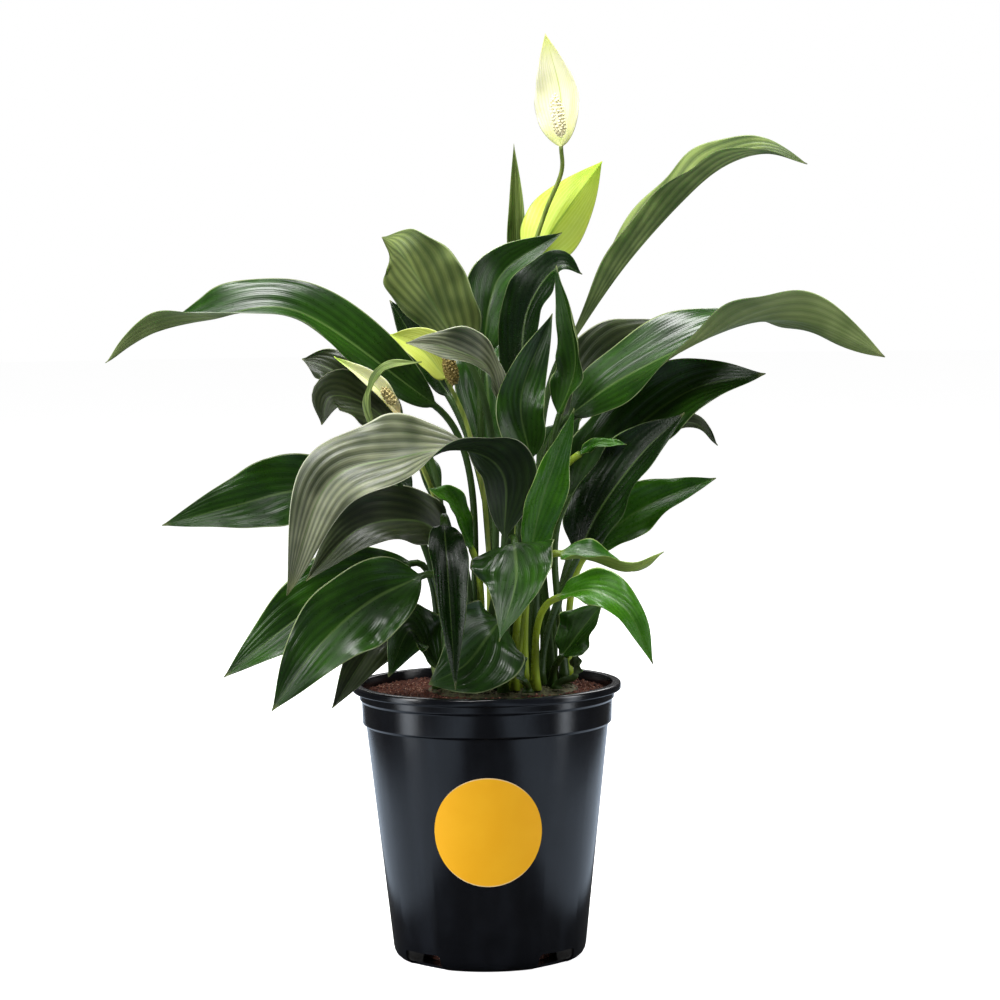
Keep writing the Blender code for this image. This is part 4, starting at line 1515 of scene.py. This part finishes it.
@dataclass
class NurseryPot:
    """A thin moulded pot with a rolled rim, a stepped collar and drain notches."""

    effects: Effects
    height: float
    rim_radius: float
    rim_depth: float = 4.5 * MM
    collar_radius: float = 78.3 * MM
    collar_depth: float = 9.5 * MM
    band_radius: float = 77 * MM
    band_depth: float = 25 * MM
    body_radius: float = 74.5 * MM
    foot_radius: float = 59.5 * MM
    foot_round: float = 8 * MM
    wall: float = 1.6 * MM
    notches: int = 4
    notch: tuple[float, float, float] = (18 * MM, 30 * MM, 20 * MM)
    notch_angle: float = 45.0
    notch_round: float = 2.5 * MM
    sharp_angle: float = 40.0
    steps: int = 180

    def wall_radius(self, z: float) -> float:
        """The outer radius of the tapered wall at a height."""
        share = (z - self.foot_round) / (self.height - self.band_depth - self.foot_round)
        return self.foot_radius + (self.body_radius - self.foot_radius) * share

    def profile(self) -> Profile:
        """The pot's section: floor, inside, rim, outside, foot.

        Returns:
            Its points from the middle of the floor round to the middle of the base.
        """
        top, wall, soft = self.height, self.wall, 0.7 * MM
        band = top - self.band_depth
        corners = [
            (0, wall, 0),
            (self.wall_radius(self.foot_round) - wall, wall, 7 * MM),
            (self.body_radius - wall, band, 2 * MM),
            (self.band_radius - wall, band + 2 * MM, 2 * MM),
            (self.collar_radius - wall, top - self.rim_depth, 2 * MM),
            (self.collar_radius - wall + 0.6 * MM, top, 0.6 * MM),
            (self.rim_radius, top, 1.6 * MM),
            (self.rim_radius, top - self.rim_depth, 0.8 * MM),
            (self.collar_radius, top - self.rim_depth - 0.4 * MM, soft),
            (self.collar_radius, top - self.collar_depth, soft),
            (self.band_radius, top - self.collar_depth - 0.8 * MM, soft),
            (self.band_radius - 0.4 * MM, band + 0.8 * MM, soft),
            (self.body_radius, band, soft),
            (self.wall_radius(0), 0, self.foot_round),
            (0, 0, 0),
        ]
        return filleted(corners)

    def build(self) -> None:
        """Turns the pot, cuts its notches and dresses it."""
        pot = turned("pot_turning", self.profile(), self.steps)
        cutters = [self.notch_cutter(360 / self.notches * index) for index in range(self.notches)]
        for cutter in cutters:
            cut = pot.modifiers.new("Notch", "BOOLEAN")
            cut.operation = "DIFFERENCE"
            cut.object = cutter
        mesh = baked_mesh(pot)
        for cutter in cutters:
            bpy.data.objects.remove(cutter)
        mesh.materials.clear()
        add_piece("nursery_pot", mesh, PlasticFinish().build(self.effects), "pot", "pot")
        mesh.set_sharp_from_angle(angle=math.radians(self.sharp_angle))

    def notch_cutter(self, around: float) -> Object:
        """A block with its outward edges rounded that cuts one notch.

        Args:
            around: Its direction past the first notch, in degrees.

        Returns:
            A scratch object.
        """
        bm = bmesh.new()
        bmesh.ops.create_cube(bm, size=1)
        bmesh.ops.scale(bm, vec=self.notch, verts=bm.verts)
        outward = []
        for edge in bm.edges:
            step = edge.verts[1].co - edge.verts[0].co
            if abs(step.y) < AXIS_TOLERANCE and abs(step.z) < AXIS_TOLERANCE:
                outward.append(edge)
        bmesh.ops.bevel(bm, geom=outward, offset=self.notch_round, segments=4, profile=0.5, affect="EDGES")
        turn = Matrix.Rotation(math.radians(self.notch_angle + around), 4, "Z")
        place = turn @ Matrix.Translation((self.foot_radius, 0, 0))
        bmesh.ops.transform(bm, matrix=place, verts=bm.verts)
        return linked("notch", written(bm, bpy.data.meshes.new("notch")))


@dataclass
class RoundLabel:
    """A plain round sticker that follows the pot's wall."""

    effects: Effects
    pot: NurseryPot
    rings: int = 16
    steps: int = 128
    clearance: float = 0.2 * MM
    thickness: float = 0.25 * MM
    sharp_angle: float = 50.0

    def build(self) -> None:
        """Makes the label and dresses it."""
        low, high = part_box("label")
        middle = (low + high) / 2
        radius = (high.z - low.z) / 2
        points = []
        for layer in (self.clearance, self.clearance + self.thickness):
            for ring in range(self.rings, 0, -1):
                for step in range(self.steps):
                    angle = 2 * math.pi * step / self.steps
                    points.append(self.wrap(middle.z, ring / self.rings * radius, angle, layer))
            points.append(self.wrap(middle.z, 0, 0, layer))
        layer_size = self.rings * self.steps + 1
        over = wall_faces(self.rings, self.steps)
        faces = [tuple(reversed(face)) for face in over]
        faces += [tuple(i + layer_size for i in face) for face in over]
        inner = (self.rings - 1) * self.steps
        for k in range(self.steps):
            n = (k + 1) % self.steps
            faces.append((inner + n, inner + k, layer_size - 1))
            faces.append((layer_size + inner + k, layer_size + inner + n, 2 * layer_size - 1))
            faces.append((k, n, layer_size + n, layer_size + k))
        mesh = bpy.data.meshes.new("label")
        mesh.from_pydata(points, [], faces)
        finish = StickerFinish().build(self.effects, middle, radius)
        add_piece("round_label", mesh, finish, "label", "label")
        mesh.set_sharp_from_angle(angle=math.radians(self.sharp_angle))
        recalculate(mesh)

    def wrap(self, height: float, out: float, angle: float, layer: float) -> Point:
        """A point of the flat disc laid on the cone.

        Args:
            height: The height of the disc's middle.
            out: Its distance from the middle.
            angle: Its direction from there.
            layer: Its distance from the wall.

        Returns:
            The point in the frame.
        """
        z = height + out * math.sin(angle)
        radius = self.pot.wall_radius(z) + layer
        around = out * math.cos(angle) / radius
        return (radius * math.sin(around), -radius * math.cos(around), z)


@dataclass(frozen=True)
class CrumbSize:
    """One size of crumb: how close they lie, their radius, their seed and how fine each is."""

    name: str
    pitch: float
    radius: float
    seed: int
    detail: int


@dataclass
class PottingMix:
    """The soil: a lumpy body under a scatter of crumbs."""

    effects: Effects
    grains: Grains
    rings: int = 48
    steps: int = 144
    edge_power: int = 6
    lump: float = 1.4 * MM
    lump_scale: float = 70.0
    smooth_edge: float = 6 * MM
    sizes: tuple[CrumbSize, ...] = (
        CrumbSize("potting_crumbs", 1.5 * MM, 0.8 * MM, 1, 1),
        CrumbSize("potting_lumps", 4.2 * MM, 1.5 * MM, 2, 2),
    )
    finish: GritFinish = GritFinish(
        "red_brown_soil", rgb(0.018, 0.005, 0.003), rgb(0.2, 0.06, 0.032), rgb(0.55, 0.3, 0.2),
        patch_scale=800.0, speck_scale=600.0, cover=0.8,
    )

    def side_profile(self) -> Profile:
        """The soil's side, read from its CAD node.

        Returns:
            Radius and height from its top edge to the middle of its base.
        """
        points = np.array([v.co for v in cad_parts["soil"].data.vertices])
        rounds = np.stack([np.hypot(points[:, 0], points[:, 1]), points[:, 2]], 1)
        by_height: dict[float, float] = {}
        for radius, z in np.unique(np.round(rounds, 5), axis=0):
            by_height[z] = max(by_height.get(z, 0.0), radius)
        levels = sorted(by_height, reverse=True)
        return [(by_height[z], z) for z in levels[1:]] + [(0.0, levels[-1])]

    def build(self) -> None:
        """Makes the soil and its crumbs and dresses them."""
        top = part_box("soil")[1].z
        side = self.side_profile()
        edge, level = side[0]
        shares = [i / self.rings for i in range(self.rings)]
        upper = [(edge * share, top + (level - top) * share**self.edge_power) for share in shares]
        mesh = baked_mesh(turned("soil_turning", upper + side, self.steps))
        mesh.materials.clear()
        for vert in mesh.vertices:
            out = math.hypot(vert.co.x, vert.co.y)
            if vert.co.z > level - 0.1 * MM and out < edge - MM:
                height = noise.fractal(vert.co * self.lump_scale, 0.9, 2.1, 4) * self.lump
                vert.co.z += height * min(1.0, (edge - out) / self.smooth_edge)
        finish = self.finish.build(self.effects)
        host = self.top_sheet(mesh, level, edge)
        add_piece("potting_mix", mesh, finish, "soil", "soil")
        for size in self.sizes:
            crumbs = self.grains.build(
                host.copy(), Pitch=size.pitch, Size=size.radius, Flattest=(0.5, 0.5, 0.35),
                Fullest=(1.3, 1.1, 0.9), Roughen=0.9 * size.radius, Tumble=6.0, Seed=size.seed,
                Detail=size.detail, Keep_Host=False, Finish=finish,
            )
            add_piece(size.name, crumbs, finish, "soil")

    def top_sheet(self, mesh: Mesh, level: float, edge: float) -> Mesh:
        """A copy of the soil's upper surface.

        Args:
            mesh: The whole soil.
            level: The height of its edge.
            edge: The radius of its edge.

        Returns:
            The open sheet that crumbs lie on.
        """
        bm = bmesh.new()
        bm.from_mesh(mesh)
        buried = []
        for face in bm.faces:
            middle = face.calc_center_median()
            if middle.z < level - 0.3 * MM or face.normal.z < 0.2 or middle.xy.length > edge - MM:
                buried.append(face)
        bmesh.ops.delete(bm, geom=buried, context="FACES")
        return written(bm, bpy.data.meshes.new("soil_top"))


@dataclass
class StalkCrown:
    """The low clump that the stalks grow from, knobbly with old stalk bases."""

    effects: Effects
    grains: Grains
    rings: int = 30
    steps: int = 96
    fall: float = 0.85
    edge_power: int = 5
    base_band: float = 0.4 * MM
    knob: float = 0.9 * MM
    knob_scale: float = 110.0
    scrap_pitch: float = 3.2 * MM
    scrap_radius: float = 1.3 * MM
    finish: GritFinish = GritFinish(
        "stalk_crown", rgb(0.03, 0.026, 0.01), rgb(0.1, 0.1, 0.035), rgb(0.25, 0.22, 0.1),
        patch_scale=260.0, speck_scale=600.0, cover=0.4, roughness=0.75,
    )

    def build(self) -> None:
        """Makes the crown and dresses it."""
        low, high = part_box("crown")
        middle = (low + high) / 2
        radius = (high.x - low.x) / 2
        drop = (high.z - low.z) * self.fall
        shares = [i / self.rings for i in range(self.rings)]
        profile = [(radius * share, high.z - drop * share**self.edge_power) for share in shares]
        profile += [(radius, low.z + self.base_band), (radius, low.z), (0.0, low.z)]
        mesh = baked_mesh(turned("crown_turning", profile, self.steps))
        mesh.materials.clear()
        for vert in mesh.vertices:
            out = math.hypot(vert.co.x, vert.co.y)
            vert.co.x += middle.x
            if vert.co.z > low.z + 0.5 * MM and out < radius - MM:
                vert.co.z += (noise.fractal(vert.co * self.knob_scale, 0.8, 2.0, 3) - 0.3) * self.knob
        finish = self.finish.build(self.effects)
        host = self.upper(mesh, low.z + MM)
        add_piece("crown_clump", mesh, finish, "crown", "crown")
        scraps = self.grains.build(
            host, Pitch=self.scrap_pitch, Size=self.scrap_radius, Flattest=(0.3, 0.3, 0.2),
            Fullest=(1.6, 0.6, 0.5), Roughen=0.8 * MM, Tumble=6.0, Seed=5, Detail=2, Keep_Host=False,
            Finish=finish,
        )
        add_piece("crown_scraps", scraps, finish, "crown")

    def upper(self, mesh: Mesh, level: float) -> Mesh:
        """A copy of the part of a mesh above a level.

        Args:
            mesh: The whole crown.
            level: The lowest height that is kept.

        Returns:
            The open sheet that scraps lie on.
        """
        bm = bmesh.new()
        bm.from_mesh(mesh)
        buried = [face for face in bm.faces if face.calc_center_median().z < level]
        bmesh.ops.delete(bm, geom=buried, context="FACES")
        return written(bm, bpy.data.meshes.new("crown_top"))


# ---------------------------------------------------------------- studio


@dataclass(frozen=True)
class Softbox:
    """A rectangular studio light aimed at the plant."""

    name: str
    place: Point
    size: tuple[float, float]
    power: float
    aim: Point = (0.0, 0.0, 0.3)
    tint: tuple[float, float, float] = (1.0, 1.0, 1.0)

    def build(self) -> None:
        """Adds the light."""
        data = bpy.data.lights.new(self.name, "AREA")
        data.shape = "RECTANGLE"
        data.size, data.size_y = self.size
        data.energy = self.power
        data.color = self.tint
        light = linked(self.name, data)
        light.visible_camera = False
        light.location = self.place
        heading = Vector(self.aim) - Vector(self.place)
        light.rotation_euler = heading.to_track_quat("-Z", "Y").to_euler()


@dataclass
class Studio:
    """A plain pale floor, soft lights and the camera.

    The floor glows for the camera only, so that it is as white as the backdrop. To a glossy surface it is
    dark, apart from two upright bands of light to the left and right that the pot mirrors.
    """

    eye: Point = (0.0095, -2.2, 0.462)
    target: Point = (0.0095, 0.0, 0.282)
    roll: float = 0.7
    lens: float = 129.7
    backdrop: float = 1.0
    fill: float = 0.09
    floor_glow: float = 0.9
    band_start: tuple[float, float] = (0.13, 0.16)
    band_end: tuple[float, float] = (0.34, 0.42)
    band_tint: Colour = rgb(0.75, 0.9, 1.1)
    floor_tone: float = 0.86
    floor_grain: float = 0.03
    mirrored_tone: float = 0.02
    bounce_tone: float = 0.3
    floor_radius: float = 9.0
    boxes: tuple[Softbox, ...] = (
        Softbox("overhead_box", (-0.1, -0.2, 1.7), (0.7, 0.5), 38),
        Softbox("left_box", (-1.6, -0.7, 0.7), (0.4, 1.3), 19),
        Softbox("right_box", (1.7, -0.4, 0.8), (0.4, 1.3), 12),
        Softbox("front_box", (-0.7, -2.0, 1.9), (0.6, 0.5), 34),
        Softbox("back_box", (0.3, 1.7, 1.3), (1.4, 0.8), 16),
        Softbox("left_strip", (-0.42, -0.14, 0.1), (0.12, 0.4), 0.7, (0, 0, 0.06), (0.85, 0.92, 1.0)),
        Softbox("right_strip", (0.42, -0.14, 0.1), (0.08, 0.4), 0.45, (0, 0, 0.06), (0.85, 0.92, 1.0)),
    )

    def build(self) -> None:
        """Adds the floor, the lights, the world and the camera."""
        self.add_floor()
        for box in self.boxes:
            box.build()
        self.add_world()
        self.add_camera()
        bpy.context.scene.view_settings.view_transform = "Standard"

    def add_floor(self) -> None:
        """Adds a round pale floor."""
        bm = bmesh.new()
        bmesh.ops.create_circle(bm, cap_ends=True, segments=96, radius=self.floor_radius)
        mesh = written(bm, bpy.data.meshes.new("floor"))
        surface = Surface("pale_floor")
        graph = surface.graph
        path = graph.node("ShaderNodeLightPath").outputs
        seen, mirrored = path["Is Camera Ray"], path["Is Glossy Ray"]
        grain = graph.noise(surface.place, 6.0, 4)
        tone = graph.mix(grain, grey(self.floor_tone), grey(self.floor_tone + self.floor_grain))
        dull = graph.mix(mirrored, grey(self.bounce_tone), grey(self.mirrored_tone))
        aside = graph.math("ABSOLUTE", graph.split(surface.place)[0])
        band = graph.times(graph.ease(aside, *self.band_start), graph.ease(aside, *self.band_end, 1, 0))
        shine = graph.mix(graph.times(band, mirrored), grey(0), self.band_tint)
        made = surface.dress(
            Base_Color=graph.mix(seen, dull, tone), Emission_Color=graph.mix(seen, shine, grey(1)),
            Emission_Strength=self.floor_glow, Roughness=0.9,
        )
        mesh.materials.append(made)
        linked("floor", mesh)

    def add_world(self) -> None:
        """Adds a white backdrop that lights the plant only a little."""
        world = bpy.data.worlds.new("studio")
        bpy.context.scene.world = world
        world.use_nodes = True
        graph = Graph(world.node_tree)
        seen = graph.node("ShaderNodeLightPath").outputs["Is Camera Ray"]
        light = graph.mix(seen, grey(self.fill), grey(self.backdrop))
        graph.feed(world.node_tree.nodes["Background"].inputs["Color"], light)

    def add_camera(self) -> None:
        """Adds the camera at the front."""
        data = bpy.data.cameras.new("camera")
        data.lens = self.lens
        camera = linked("camera", data)
        camera.location = self.eye
        heading = Vector(self.target) - Vector(self.eye)
        level = heading.to_track_quat("-Z", "Y").to_matrix()
        camera.rotation_euler = (level @ Matrix.Rotation(math.radians(-self.roll), 3, "Z")).to_euler()
        bpy.context.scene.camera = camera


def main() -> None:
    """Builds the plant and its studio."""
    logging.basicConfig(level=logging.INFO)
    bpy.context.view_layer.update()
    effects = Effects()
    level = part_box("crown")[1].z + GAP
    grains = Grains(scatter_tree())
    Studio().build()
    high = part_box("pot")[1]
    pot = NurseryPot(effects, height=high.z, rim_radius=high.x)
    pot.build()
    RoundLabel(effects, pot).build()
    PottingMix(effects, grains).build()
    StalkCrown(effects, grains).build()
    Foliage(effects, level).build()
    FlowerHeads(effects, level, grains).build()


if __name__ == "__main__":
    main()
